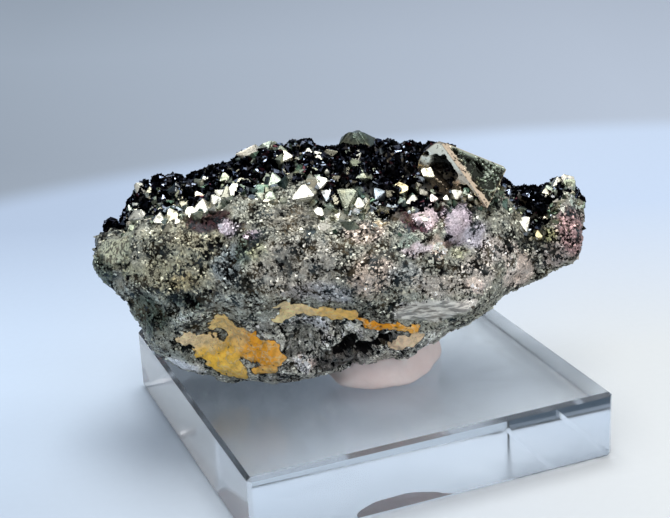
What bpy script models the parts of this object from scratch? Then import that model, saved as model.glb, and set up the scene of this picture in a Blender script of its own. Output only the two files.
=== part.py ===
"""An octahedral pyrite specimen, held with a pad of putty on a clear acrylic display block.

The frame is the block's: +Z up, the origin at the centre of the block's underside, X and Y along its sides.
The specimen is a long nodule. Its solid is a sphere drawn out along six lines (ridge, shoulder, rim, base,
front and back), roughened by noise, and joined with the octahedral crystals that grow out of it.
"""

import math

import bmesh
import bpy
import numpy as np
from mathutils import Euler, Matrix, Vector
from mathutils.bvhtree import BVHTree

MM = 0.001

# Display block
BLOCK_SIDE = 50.8 * MM
BLOCK_HEIGHT = 9.5 * MM
BLOCK_CHAMFER = 0.5 * MM

# Specimen: how it stands on the block
SPECIMEN_TURN = math.radians(-21.3)
LEFT_END = -35.4 * MM
RIGHT_END = 31.4 * MM
STATIONS = 45
POINTS_AROUND = 46

# Specimen: its lines, as (distance along it, height above the table) in millimetres
RIDGE = (
    (-35.4, 28.0), (-34.6, 30.2), (-33.0, 31.2), (-30.8, 32.8), (-29.4, 35.0), (-26.0, 36.0),
    (-20.0, 36.8), (-16.5, 37.8), (-14.0, 39.2), (-7.5, 40.0), (-3.0, 39.0), (3.0, 39.2),
    (10.0, 38.8), (13.0, 38.4), (17.0, 36.6), (19.6, 34.6), (21.2, 32.0), (23.0, 30.6),
    (24.8, 31.8), (28.0, 32.6), (30.2, 31.4), (31.4, 28.6),
)
SHOULDER = (
    (-35.4, 27.6), (-33.6, 29.8), (-30.0, 32.0), (-25.0, 33.6), (-15.0, 35.2), (-6.0, 35.6),
    (4.0, 34.6), (9.0, 35.0), (13.0, 35.4), (17.0, 33.4), (20.0, 30.8), (23.0, 28.6),
    (26.0, 30.4), (30.0, 30.4), (31.4, 28.0),
)
RIM = (
    (-35.4, 26.8), (-33.0, 25.6), (-30.6, 23.4), (-24.0, 21.0), (-16.0, 21.0), (-8.0, 22.2), (0.0, 20.4),
    (9.0, 19.4), (15.0, 19.6), (19.0, 20.8), (23.5, 22.8), (28.0, 25.0), (31.4, 26.8),
)
BASE = (
    (-35.4, 26.4), (-34.0, 25.4), (-31.8, 23.2), (-30.0, 19.0), (-28.0, 15.2), (-24.6, 12.8),
    (-17.0, 11.8), (-12.0, 11.4), (-5.5, 12.2), (4.0, 13.2), (10.5, 13.4), (13.5, 15.2),
    (17.5, 17.4), (19.4, 19.4), (23.6, 20.8), (26.0, 22.2), (29.5, 24.2), (31.4, 26.4),
)
FRONT = (
    (-35.4, -1.6), (-34.0, -4.4), (-30.0, -8.4), (-24.0, -11.8), (-14.0, -14.0), (0.0, -14.6), (10.0, -13.2),
    (16.0, -10.8), (20.0, -8.0), (23.0, -5.8), (26.0, -6.2), (30.0, -5.2), (31.4, -2.4),
)
BACK = (
    (-35.4, 2.4), (-33.6, 7.0), (-29.0, 11.0), (-22.0, 13.8), (-10.0, 15.4), (2.0, 15.0), (12.0, 13.0),
    (18.0, 10.0), (22.0, 6.8), (26.0, 7.2), (30.0, 6.0), (31.4, 2.6),
)
LINE_ROUNDING = 0.9 * MM
SECTION_CORNERS = 8

# Where the corners of a section lie across its depth, 0 at the front and 1 at the back
RIDGE_DEPTH = 0.62
SHOULDER_DEPTH = 0.20
RIM_DEPTH = 0.04
BASE_FRONT_DEPTH = 0.22
BASE_BACK_DEPTH = 0.68
BACK_LOW_DEPTH = 0.97
BACK_HIGH_DEPTH = 0.93
# and over its height, 0 at the base and 1 at the ridge
BASE_BACK_HEIGHT = 0.04
BACK_LOW_HEIGHT = 0.36
BACK_HIGH_HEIGHT = 0.76

# Lumps: how far noise moves the surface, and over what length
BROAD_LUMP, BROAD_LENGTH = 1.5 * MM, 9.0 * MM
FINE_LUMP, FINE_LENGTH = 0.8 * MM, 3.6 * MM
LUMP_SEED = 11

# Hollows and swellings: (along, around the section in corners from the ridge, radius, outward height), in mm
RELIEF = (
    (-33.0, 1.8, 3.4, 1.0), (-34.4, 2.7, 2.0, 0.7), (-31.6, 2.5, 1.6, -1.2), (-29.0, 3.1, 3.0, -1.0),
    (-27.0, 3.7, 4.0, 1.2), (-18.5, 3.35, 3.2, -1.5), (-17.0, 3.8, 4.2, 1.0), (-10.5, 3.5, 2.4, 1.2),
    (-7.5, 3.3, 2.2, -1.4), (-4.0, 3.6, 2.6, 1.1), (-1.5, 3.75, 2.2, -1.8), (3.5, 3.35, 2.6, -1.3),
    (6.5, 3.6, 2.6, 0.9), (23.5, 1.6, 2.4, -1.2), (24.0, 2.6, 1.6, -0.9), (15.0, 2.6, 4.0, 0.8),
    (-14.0, 0.75, 4.0, -1.1), (-3.0, 0.9, 3.4, -1.6), (6.5, 0.7, 3.4, -1.6), (-22.0, 0.8, 3.0, -1.2),
    (20.0, 6.4, 3.0, -1.0), (-15.0, 6.3, 5.0, -1.6), (2.0, 6.0, 4.0, 1.4), (-27.0, 6.6, 4.0, 1.2),
    (-6.0, 5.2, 4.0, -1.4), (11.0, 5.4, 3.6, 1.0),
)

# The crystal on the right shoulder, the largest, and the one that stands up from the ridge:
# (centre in mm, radius in mm, three angles in degrees)
PLACED_CRYSTALS = (
    ((14.6, -1.0, 34.9), 6.4, (-161.6, 13.4, -76.4)),
    ((0.9, 3.4, 37.8), 3.6, (10, -8, 32)),
)

# The large crystals: (along, around in corners from the ridge, radius, sunk share, three angles in degrees)
LARGE_CRYSTALS = (
    (10.4, 0.45, 4.2, 0.45, (24, -8, 28)),
    (19.6, 0.50, 4.4, 0.55, (-12, 22, 20)),
    (-14.0, 0.35, 3.4, 0.50, (18, 6, 50)),
    (-9.0, 0.25, 3.4, 0.50, (-6, 20, 12)),
    (-10.5, 0.84, 2.8, 0.30, (30, 12, 70)),
    (-6.6, 1.00, 3.2, 0.36, (46, -20, 24)),
    (-4.2, 0.84, 2.4, 0.30, (12, 40, 10)),
    (-0.5, 0.95, 3.2, 0.36, (34, 8, 58)),
    (0.8, 1.08, 2.2, 0.34, (14, 26, 74)),
    (1.2, 0.70, 2.4, 0.34, (20, -30, 30)),
    (3.6, 0.92, 2.4, 0.34, (52, 10, 12)),
    (-18.6, 0.84, 2.1, 0.30, (16, 24, 44)),
    (-20.6, 1.00, 2.1, 0.30, (40, -10, 66)),
    (-24.4, 1.02, 2.4, 0.34, (22, 18, 30)),
    (-29.6, 1.00, 2.3, 0.36, (-10, 36, 52)),
    (-30.4, 0.25, 2.8, 0.44, (10, -16, 72)),
    (-20.8, 0.35, 2.4, 0.40, (14, 34, 8)),
    (8.7, 1.05, 2.3, 0.34, (28, 16, 42)),
    (11.4, 1.10, 2.1, 0.34, (18, -22, 60)),
    (14.4, 1.22, 2.1, 0.34, (44, 12, 16)),
    (28.4, 0.50, 2.7, 0.42, (24, 10, 36)),
    (29.9, 0.80, 2.2, 0.44, (-10, 30, 52)),
    (25.4, 0.20, 2.2, 0.42, (14, -12, 68)),
    (23.8, 1.60, 1.9, 0.34, (36, 24, 10)),
    (-24.0, -0.90, 3.8, 0.42, (20, 10, 40)),
    (-14.0, -1.30, 4.4, 0.42, (48, -14, 22)),
    (-5.0, -0.80, 3.6, 0.42, (8, 32, 66)),
    (5.0, -1.40, 4.6, 0.44, (30, 20, 8)),
    (12.0, -0.90, 3.6, 0.42, (-16, 12, 54)),
    (18.0, -1.30, 3.2, 0.42, (26, -28, 34)),
    (-8.0, -2.00, 3.4, 0.42, (12, 44, 18)),
    (-19.0, -2.05, 3.2, 0.42, (56, 6, 30)),
    (0.0, -2.10, 3.0, 0.42, (34, -36, 62)),
    (26.4, -1.20, 2.6, 0.42, (18, 22, 46)),
)

# The druse: smaller crystals strewn over the top and the back
DRUSE_COUNT = 104
DRUSE_ALONG = (-33.0 * MM, 30.0 * MM)
DRUSE_AROUND = (-2.1, 1.02)
DRUSE_RADIUS = (1.4 * MM, 2.8 * MM)
DRUSE_SUNK = 0.38
DRUSE_SEED = 4

# Putty pad, in the specimen's own directions
PUTTY_CENTRE = (3.4 * MM, -1.0 * MM)
PUTTY_HALF_WIDTH = 8.2 * MM
PUTTY_HALF_DEPTH = 8.8 * MM
PUTTY_RINGS = 7
PUTTY_POINTS = 26
PUTTY_WOBBLE = 0.05
PUTTY_SQUARENESS = 8
GAP = 0.3 * MM

BRASS = (0.52, 0.46, 0.33)
PUTTY_PINK = (0.78, 0.66, 0.63)
ACRYLIC_CLEAR = (0.86, 0.91, 0.96)


def clear_scene():
    for obj in list(bpy.data.objects):
        bpy.data.objects.remove(obj, do_unlink=True)


def make_material(name, colour, roughness, metallic=0.0, transmission=0.0, alpha=1.0):
    material = bpy.data.materials.new(name)
    material.use_nodes = True
    shader = material.node_tree.nodes["Principled BSDF"]
    shader.inputs["Base Color"].default_value = (*colour, 1.0)
    shader.inputs["Roughness"].default_value = roughness
    shader.inputs["Metallic"].default_value = metallic
    shader.inputs["Transmission Weight"].default_value = transmission
    shader.inputs["Alpha"].default_value = alpha
    return material


def lattice_values(cells, seed):
    """A repeatable value from -1 to 1 for each whole-number lattice point: its three numbers are mixed into one
    of 20 bits, which is multiplied and folded on itself twice."""
    mixed = (cells[..., 0] * 73856 + cells[..., 1] * 19349 + cells[..., 2] * 83492 + seed * 9176) & 0xFFFFF
    for factor in (48271, 69621):
        mixed = (mixed * factor + 1013) & 0x7FFFFFFF
        mixed = (mixed ^ (mixed >> 11)) & 0xFFFFF
    return mixed / 0x7FFFF - 1.0


def smooth_noise(points, length, seed):
    """Value noise: the lattice values of the eight corners round a point, blended with a smooth step."""
    scaled = points / length
    cells = np.floor(scaled).astype(np.int64)
    share = scaled - cells
    share = share * share * (3.0 - 2.0 * share)
    total = np.zeros(points.shape[:-1])
    for corner in np.ndindex(2, 2, 2):
        weight = np.prod(np.where(corner, share, 1.0 - share), axis=-1)
        total += weight * lattice_values(cells + np.array(corner), seed)
    return total


def line_at(line, along):
    """A line's value at a distance along the specimen, with its corners rounded by averaging to both sides."""
    table = np.array(line) * MM
    offsets = (-LINE_ROUNDING, 0.0, LINE_ROUNDING)
    return sum(np.interp(along + offset, table[:, 0], table[:, 1]) for offset in offsets) / len(offsets)


def section_corners(along):
    """The corners of the section at each distance, as (depth, height): ridge, shoulder, front, rim, the front
    and back of the base, and the lower and upper back."""
    front, back = line_at(FRONT, along), line_at(BACK, along)
    ridge, shoulder = line_at(RIDGE, along), line_at(SHOULDER, along)
    rim, base = line_at(RIM, along), line_at(BASE, along)

    def depth(share):
        return front + (back - front) * share

    def height(share):
        return base + (ridge - base) * share

    corners = (
        (depth(RIDGE_DEPTH), ridge),
        (depth(SHOULDER_DEPTH), shoulder),
        (front, (shoulder + rim) / 2),
        (depth(RIM_DEPTH), rim),
        (depth(BASE_FRONT_DEPTH), base),
        (depth(BASE_BACK_DEPTH), height(BASE_BACK_HEIGHT)),
        (depth(BACK_LOW_DEPTH), height(BACK_LOW_HEIGHT)),
        (depth(BACK_HIGH_DEPTH), height(BACK_HIGH_HEIGHT)),
    )
    return np.stack([np.stack(corner, axis=-1) for corner in corners], axis=-2)


def smooth_skin(along, around):
    """The point at a distance along, and a number of corners around from the ridge: a closed Catmull-Rom curve
    through the section's corners."""
    corners = section_corners(along)
    before = np.floor(around).astype(int)
    t = (around - before)[..., None]

    def corner(step):
        index = ((before + step) % SECTION_CORNERS)[..., None, None]
        return np.take_along_axis(corners, np.broadcast_to(index, (*along.shape, 1, 2)), axis=-2)[..., 0, :]

    a, b, c, d = corner(-1), corner(0), corner(1), corner(2)
    flat = b + 0.5 * t * (c - a + t * (2 * a - 5 * b + 4 * c - d + t * (3 * (b - c) + d - a)))
    return np.concatenate([along[..., None], flat], axis=-1)


def outward(along, around):
    """The skin's outward direction, from its slopes along and around."""
    step_along, step_around = 0.2 * MM, 0.05
    slope_along = smooth_skin(along + step_along, around) - smooth_skin(along - step_along, around)
    slope_around = smooth_skin(along, around + step_around) - smooth_skin(along, around - step_around)
    normal = np.cross(slope_around, slope_along)
    return normal / np.maximum(np.linalg.norm(normal, axis=-1, keepdims=True), 1e-12)


def skin(along, around):
    """The weathered surface: the smooth skin, raised or hollowed by the relief, and moved by noise."""
    points = smooth_skin(along, around)
    normals = outward(along, around)
    raised = np.zeros(along.shape)
    for at, corner, radius, height in RELIEF:
        centre = smooth_skin(np.array(at * MM), np.array(corner))
        distance = np.linalg.norm(points - centre, axis=-1) / (radius * MM)
        raised += height * MM * np.exp(-distance * distance)
    moved = points + normals * raised[..., None]
    for size, length, seed in ((BROAD_LUMP, BROAD_LENGTH, LUMP_SEED), (FINE_LUMP, FINE_LENGTH, LUMP_SEED + 3)):
        shift = [smooth_noise(points, length, seed + axis) for axis in range(3)]
        moved = moved + size * np.stack(shift, axis=-1)
    return moved


def nodule_mesh():
    """A sphere primitive with its poles at the two ends, each of its points moved to the weathered surface. The
    angle from the first pole gives the distance along, and the angle round the poles gives the corner."""
    mesh = bmesh.new()
    bmesh.ops.create_uvsphere(mesh, u_segments=POINTS_AROUND, v_segments=STATIONS, radius=1.0)
    unit = np.array([vert.co for vert in mesh.verts])
    share = np.arccos(np.clip(-unit[:, 2], -1.0, 1.0)) / math.pi
    along = LEFT_END + (RIGHT_END - LEFT_END) * share
    around = np.arctan2(unit[:, 1], unit[:, 0]) / (2 * math.pi) * SECTION_CORNERS
    moved = skin(along, around)
    poles = np.flatnonzero(np.abs(unit[:, 2]) > 0.9999)
    for pole in poles:
        ring = skin(np.full(SECTION_CORNERS, along[pole]), np.arange(SECTION_CORNERS))
        moved[pole] = ring.mean(axis=0)
    for vert, point in zip(mesh.verts, moved):
        vert.co = point
    bmesh.ops.recalc_face_normals(mesh, faces=mesh.faces)
    return mesh


def crystal_places():
    """Where the large crystals and the druse stand: (along, around, radius, sunk share, angles)."""
    places = []
    for at, corner, radius, sunk, angles in LARGE_CRYSTALS:
        places.append((at * MM, corner, radius * MM, sunk, tuple(math.radians(angle) for angle in angles)))
    random = np.random.default_rng(DRUSE_SEED)
    for _ in range(DRUSE_COUNT):
        at = random.uniform(*DRUSE_ALONG)
        corner = random.uniform(*DRUSE_AROUND)
        radius = random.uniform(*DRUSE_RADIUS)
        angles = tuple(random.uniform(0.0, math.pi / 2, 3))
        places.append((at, corner, radius, DRUSE_SUNK, angles))
    return places


def add_octahedron(mesh, centre, radius, angles):
    """A sphere primitive of four segments and two rings, which is an octahedron."""
    matrix = Matrix.Translation(centre) @ Euler(angles).to_matrix().to_4x4()
    bmesh.ops.create_uvsphere(mesh, u_segments=4, v_segments=2, radius=radius, matrix=matrix)


def crystal_mesh():
    """Every crystal, its centre sunk by a share of its radius into the surface that it grows from."""
    mesh = bmesh.new()
    for centre, radius, angles in PLACED_CRYSTALS:
        add_octahedron(mesh, Vector(centre) * MM, radius * MM, [math.radians(angle) for angle in angles])
    for at, corner, radius, sunk, angles in crystal_places():
        foot = skin(np.array(at), np.array(corner))
        normal = outward(np.array(at), np.array(corner))
        add_octahedron(mesh, Vector(foot - normal * radius * sunk), radius, angles)
    bmesh.ops.recalc_face_normals(mesh, faces=mesh.faces)
    return mesh


def object_from(mesh, name, collection):
    data = bpy.data.meshes.new(name)
    mesh.to_mesh(data)
    mesh.free()
    obj = bpy.data.objects.new(name, data)
    collection.objects.link(obj)
    return obj


def connected_shells(mesh):
    """The mesh's points in sets, one for each closed shell, the one with the most points last."""
    unseen = set(mesh.verts)
    shells = []
    while unseen:
        shell = set()
        waiting = [unseen.pop()]
        while waiting:
            vert = waiting.pop()
            shell.add(vert)
            neighbours = {edge.other_vert(vert) for edge in vert.link_edges} & unseen
            unseen -= neighbours
            waiting.extend(neighbours)
        shells.append(shell)
    return sorted(shells, key=len)


def keep_largest_shell(data):
    """Removes what the union leaves of pockets shut in between crystals."""
    mesh = bmesh.new()
    mesh.from_mesh(data)
    for shell in connected_shells(mesh)[:-1]:
        bmesh.ops.delete(mesh, geom=list(shell), context="VERTS")
    bmesh.ops.triangulate(mesh, faces=mesh.faces)
    mesh.to_mesh(data)
    mesh.free()


def build_specimen(collection, helpers):
    """The nodule joined with its crystals, turned as it stands on the block."""
    specimen = object_from(nodule_mesh(), "pyrite_specimen", collection)
    crystals = object_from(crystal_mesh(), "crystals_to_join", helpers)
    crystals.hide_render = True
    crystals.display_type = "WIRE"
    union = specimen.modifiers.new("crystals", "BOOLEAN")
    union.operation = "UNION"
    union.solver = "EXACT"
    union.use_self = True
    union.object = crystals
    bpy.context.view_layer.update()
    graph = bpy.context.evaluated_depsgraph_get()
    joined = bpy.data.meshes.new_from_object(specimen.evaluated_get(graph))
    specimen.modifiers.clear()
    specimen.data = joined
    keep_largest_shell(joined)
    specimen.rotation_euler = (0.0, 0.0, SPECIMEN_TURN)
    joined.shade_flat()
    joined.materials.clear()
    joined.materials.append(make_material("pyrite", BRASS, 0.42, metallic=0.85))
    return specimen


def build_block(collection):
    bpy.ops.mesh.primitive_cube_add(size=1.0, location=(0.0, 0.0, BLOCK_HEIGHT / 2))
    block = bpy.context.object
    block.name = "acrylic_block"
    block.scale = (BLOCK_SIDE, BLOCK_SIDE, BLOCK_HEIGHT)
    bpy.ops.object.transform_apply(location=False, rotation=False, scale=True)
    for owner in list(block.users_collection):
        owner.objects.unlink(block)
    collection.objects.link(block)
    chamfer = block.modifiers.new("chamfer", "BEVEL")
    chamfer.width = BLOCK_CHAMFER
    chamfer.segments = 1
    block.data.materials.append(make_material("acrylic", ACRYLIC_CLEAR, 0.03, transmission=1.0, alpha=0.35))


def putty_reach(polar_share, angle):
    """How far out a point of the pad lies, as a share of its half width: its plan is a wavy circle."""
    waves = math.sin(3 * angle + 0.6) + 0.6 * math.sin(5 * angle)
    return polar_share ** 0.8 * (1.0 + PUTTY_WOBBLE * waves)


def build_putty(collection, specimen):
    """A pad pressed between block and specimen: a sphere primitive whose upper half is raised to just under the
    specimen, whose lower half is laid flat on the block, and whose edge stands upright."""
    underside = BVHTree.FromObject(specimen, bpy.context.evaluated_depsgraph_get())
    mesh = bmesh.new()
    bmesh.ops.create_uvsphere(mesh, u_segments=PUTTY_POINTS, v_segments=PUTTY_RINGS * 2, radius=1.0)
    floor = BLOCK_HEIGHT + GAP
    for vert in mesh.verts:
        angle = math.atan2(vert.co.y, vert.co.x)
        polar_share = math.acos(min(1.0, abs(vert.co.z))) / (math.pi / 2)
        reach = putty_reach(polar_share, angle)
        rise = math.sqrt(max(0.0, 1.0 - polar_share ** PUTTY_SQUARENESS))
        level = 0.5 + 0.5 * math.copysign(rise, vert.co.z)
        x = PUTTY_CENTRE[0] + PUTTY_HALF_WIDTH * reach * math.cos(angle)
        y = PUTTY_CENTRE[1] + PUTTY_HALF_DEPTH * reach * math.sin(angle)
        ceiling = underside.ray_cast(Vector((x, y, floor)), Vector((0.0, 0.0, 1.0)))[0].z - GAP
        vert.co = (x, y, floor + (ceiling - floor) * level)
    bmesh.ops.recalc_face_normals(mesh, faces=mesh.faces)
    putty = object_from(mesh, "mounting_putty", collection)
    putty.rotation_euler = (0.0, 0.0, SPECIMEN_TURN)
    putty.data.shade_smooth()
    putty.data.materials.append(make_material("putty", PUTTY_PINK, 0.6))


def main():
    clear_scene()
    collection = bpy.data.collections.new("octahedral_pyrite_specimen")
    helpers = bpy.data.collections.new("helpers")
    bpy.context.scene.collection.children.link(collection)
    bpy.context.scene.collection.children.link(helpers)
    specimen = build_specimen(collection, helpers)
    build_block(collection)
    build_putty(collection, specimen)


main()
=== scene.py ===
"""The looks of an octahedral pyrite specimen on a clear acrylic block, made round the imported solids.

The specimen's pieces are worked out in its own frame, in millimetres: X along it, Y away from the front, Z
up. They are turned and scaled into the row's frame when their meshes are made.
"""

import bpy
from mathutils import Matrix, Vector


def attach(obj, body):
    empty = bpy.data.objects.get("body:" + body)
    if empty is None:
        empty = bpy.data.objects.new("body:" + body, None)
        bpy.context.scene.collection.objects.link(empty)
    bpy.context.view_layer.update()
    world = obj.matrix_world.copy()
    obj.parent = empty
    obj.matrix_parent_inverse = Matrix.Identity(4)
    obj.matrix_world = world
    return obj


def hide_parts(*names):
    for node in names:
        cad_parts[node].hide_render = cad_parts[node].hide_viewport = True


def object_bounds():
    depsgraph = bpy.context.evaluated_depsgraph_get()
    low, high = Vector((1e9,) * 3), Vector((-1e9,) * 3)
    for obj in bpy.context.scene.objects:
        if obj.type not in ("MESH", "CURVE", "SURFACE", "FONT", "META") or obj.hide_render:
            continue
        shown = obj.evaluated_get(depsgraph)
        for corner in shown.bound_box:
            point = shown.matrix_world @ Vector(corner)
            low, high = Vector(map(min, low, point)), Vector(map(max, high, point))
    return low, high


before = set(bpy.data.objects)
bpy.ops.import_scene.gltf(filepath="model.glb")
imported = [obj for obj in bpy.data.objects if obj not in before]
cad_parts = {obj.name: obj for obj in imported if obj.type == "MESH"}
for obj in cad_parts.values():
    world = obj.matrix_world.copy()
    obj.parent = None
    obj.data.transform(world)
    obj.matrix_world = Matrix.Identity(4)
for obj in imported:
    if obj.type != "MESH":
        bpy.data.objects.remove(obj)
CAD_BOX = [list(corner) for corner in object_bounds()]

import itertools
import math

import bpy
import numpy as np
from mathutils import Matrix, Vector

MM = 0.001

# How far inside the box of the solids every point stays, in metres
BOX_MARGIN = 0.00003

# A distance beyond any that is measured
FAR = 9.0

# Display block, as the solids have it, a height just above its lower chamfer, and how near its top
# or a side a point counts as being on it
BLOCK_TOP = 9.5
BLOCK_HALF = 25.4
BLOCK_CHAMFER_TOP = 0.6
NEAR_TOP = 0.05
NEAR_SIDE = 0.03

# How the specimen stands on the block
SPECIMEN_TURN = math.radians(-21.3)
LEFT_END = -35.4
RIGHT_END = 31.4

# The specimen's lines, as (distance along it, height above the table or depth)
RIDGE = (
    (-35.4, 28.0), (-34.6, 30.2), (-33.0, 31.2), (-30.8, 32.8), (-29.4, 35.0), (-26.0, 36.0), (-20.0, 36.8),
    (-16.5, 37.8), (-14.0, 39.2), (-7.5, 40.0), (-3.0, 39.0), (3.0, 39.2), (10.0, 38.8), (13.0, 38.4),
    (17.0, 36.6), (19.6, 34.6), (21.2, 32.0), (23.0, 30.6), (24.8, 31.8), (28.0, 32.6), (30.2, 31.4),
    (31.4, 28.6),
)
SHOULDER = (
    (-35.4, 27.6), (-33.6, 29.8), (-30.0, 32.0), (-25.0, 33.6), (-15.0, 35.2), (-6.0, 35.6), (4.0, 34.6),
    (9.0, 35.0), (13.0, 35.4), (17.0, 33.4), (20.0, 30.8), (23.0, 28.6), (26.0, 30.4), (30.0, 30.4),
    (31.4, 28.0),
)
RIM = (
    (-35.4, 26.8), (-33.0, 25.6), (-30.6, 23.4), (-24.0, 21.0), (-16.0, 21.0), (-8.0, 22.2), (0.0, 20.4),
    (9.0, 19.4), (15.0, 19.6), (19.0, 20.8), (23.5, 22.8), (28.0, 25.0), (31.4, 26.8),
)
BASE = (
    (-35.4, 26.4), (-34.0, 25.4), (-31.8, 23.2), (-30.0, 19.0), (-28.0, 15.2), (-24.6, 12.8), (-17.0, 11.8),
    (-12.0, 11.4), (-5.5, 12.2), (4.0, 13.2), (10.5, 13.4), (13.5, 15.2), (17.5, 17.4), (19.4, 19.4),
    (23.6, 20.8), (26.0, 22.2), (29.5, 24.2), (31.4, 26.4),
)
FRONT = (
    (-35.4, -1.6), (-34.0, -4.4), (-30.0, -8.4), (-24.0, -11.8), (-14.0, -14.0), (0.0, -14.6),
    (10.0, -13.2), (16.0, -10.8), (20.0, -8.0), (23.0, -5.8), (26.0, -6.2), (30.0, -5.2), (31.4, -2.4),
)
BACK = (
    (-35.4, 2.4), (-33.6, 7.0), (-29.0, 11.0), (-22.0, 13.8), (-10.0, 15.4), (2.0, 15.0), (12.0, 13.0),
    (18.0, 10.0), (22.0, 6.8), (26.0, 7.2), (30.0, 6.0), (31.4, 2.6),
)
LINE_ROUNDING = 0.9
SECTION_CORNERS = 8
RIDGE_DEPTH, SHOULDER_DEPTH, RIM_DEPTH = 0.62, 0.20, 0.04
BASE_FRONT_DEPTH, BASE_BACK_DEPTH = 0.22, 0.68
BACK_LOW_DEPTH, BACK_HIGH_DEPTH = 0.97, 0.93
BASE_BACK_HEIGHT, BACK_LOW_HEIGHT, BACK_HIGH_HEIGHT = 0.04, 0.36, 0.76

# Lumps all over it: (size, length, seed)
LUMPS = ((1.5, 9.0, 11), (0.8, 3.6, 14))

# Hollows and swellings that the solid has: (along, around in corners from the ridge, radius, outward
# height)
RELIEF = (
    (-33.0, 1.8, 3.4, 1.0), (-34.4, 2.7, 2.0, 0.7), (-31.6, 2.5, 1.6, -1.2), (-29.0, 3.1, 3.0, -1.0),
    (-27.0, 3.7, 4.0, 1.2), (-18.5, 3.35, 3.2, -1.5), (-17.0, 3.8, 4.2, 1.0), (-10.5, 3.5, 2.4, 1.2),
    (-7.5, 3.3, 2.2, -1.4), (-4.0, 3.6, 2.6, 1.1), (-1.5, 3.75, 2.2, -1.8), (3.5, 3.35, 2.6, -1.3),
    (6.5, 3.6, 2.6, 0.9), (23.5, 1.6, 2.4, -1.2), (24.0, 2.6, 1.6, -0.9), (15.0, 2.6, 4.0, 0.8),
    (-14.0, 0.75, 4.0, -1.1), (-3.0, 0.9, 3.4, -1.6), (6.5, 0.7, 3.4, -1.6), (-22.0, 0.8, 3.0, -1.2),
    (20.0, 6.4, 3.0, -1.0), (-15.0, 6.3, 5.0, -1.6), (2.0, 6.0, 4.0, 1.4), (-27.0, 6.6, 4.0, 1.2),
    (-6.0, 5.2, 4.0, -1.4), (11.0, 5.4, 3.6, 1.0),
)

# Where the looks' surface stands higher or lower than the solid's, as (along, height): over the top, where
# the druse fills up to the tips of the solid's crystals, and underneath
TOP_LIFT = (
    (-36.0, -2.2), (-34.4, -1.7), (-33.0, -1.0), (-31.4, -1.9), (-30.3, -3.3), (-29.8, -2.8), (-29.2, 0.8),
    (-27.6, -0.6), (-26.4, -0.9), (-25.0, -1.2), (-23.0, -0.2), (-21.0, -0.4), (-19.5, -0.9), (-17.4, -1.4),
    (-16.0, -0.5), (-14.5, 0.6), (-9.0, 0.0), (-7.4, -0.5), (-5.4, 1.0), (-3.4, 0.6), (-1.0, 1.0),
    (0.2, 1.0), (1.4, 0.4), (2.6, -0.5), (5.0, -0.3), (8.4, -0.2), (10.0, 0.0), (12.0, 0.4), (15.0, 1.0),
    (17.6, 1.5), (20.0, 2.1), (21.6, 1.2), (23.6, 1.4), (25.5, 0.9), (26.8, -0.2), (28.0, 0.1), (29.6, 2.6),
    (30.6, 3.4), (31.6, 2.4),
)
UNDER_LIFT = (
    (-36.0, 0.0), (-30.0, -1.4), (-27.6, -0.7), (-22.0, -0.9), (-16.0, -0.8), (-13.0, -1.2), (-9.0, -1.6),
    (-6.6, -1.0), (-4.0, -0.8), (-1.0, -0.6), (2.4, -0.1), (4.6, 0.2), (6.4, 1.5), (8.0, 2.1), (11.6, 2.2),
    (13.0, 1.4), (16.0, 0.1), (19.0, 0.5), (24.0, -0.7), (29.0, 0.0), (32.0, 0.4),
)

# Crust: how finely it is made. The front is seen closest, so more of the points round it lie there.
CRUST_STATIONS = 330
CRUST_AROUND = 300
POINTS_PER_CORNER = (
    (0.0, 50), (1.0, 48), (2.0, 46), (3.0, 50), (4.0, 42), (4.6, 26), (5.0, 22), (6.0, 22), (7.0, 28),
    (8.0, 50),
)

# Where the black druse ends towards the front and the back, in corners from the ridge, along the specimen
DRUSE_FRONT = (
    (-36.0, -0.3), (-32.0, 0.1), (-30.0, 0.4), (-28.4, 0.7), (-23.0, 0.62), (-19.0, 0.6), (-15.0, 0.66),
    (-10.0, 0.6), (-5.0, 0.8), (0.0, 0.7), (4.0, 0.95), (8.0, 0.94), (10.5, 0.92), (14.0, 0.88),
    (16.0, 0.6), (17.4, 0.1), (20.0, 0.2), (22.0, 0.9), (25.0, 1.1), (28.0, 0.5), (32.0, 0.1),
)
DRUSE_BACK = -1.9

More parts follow.
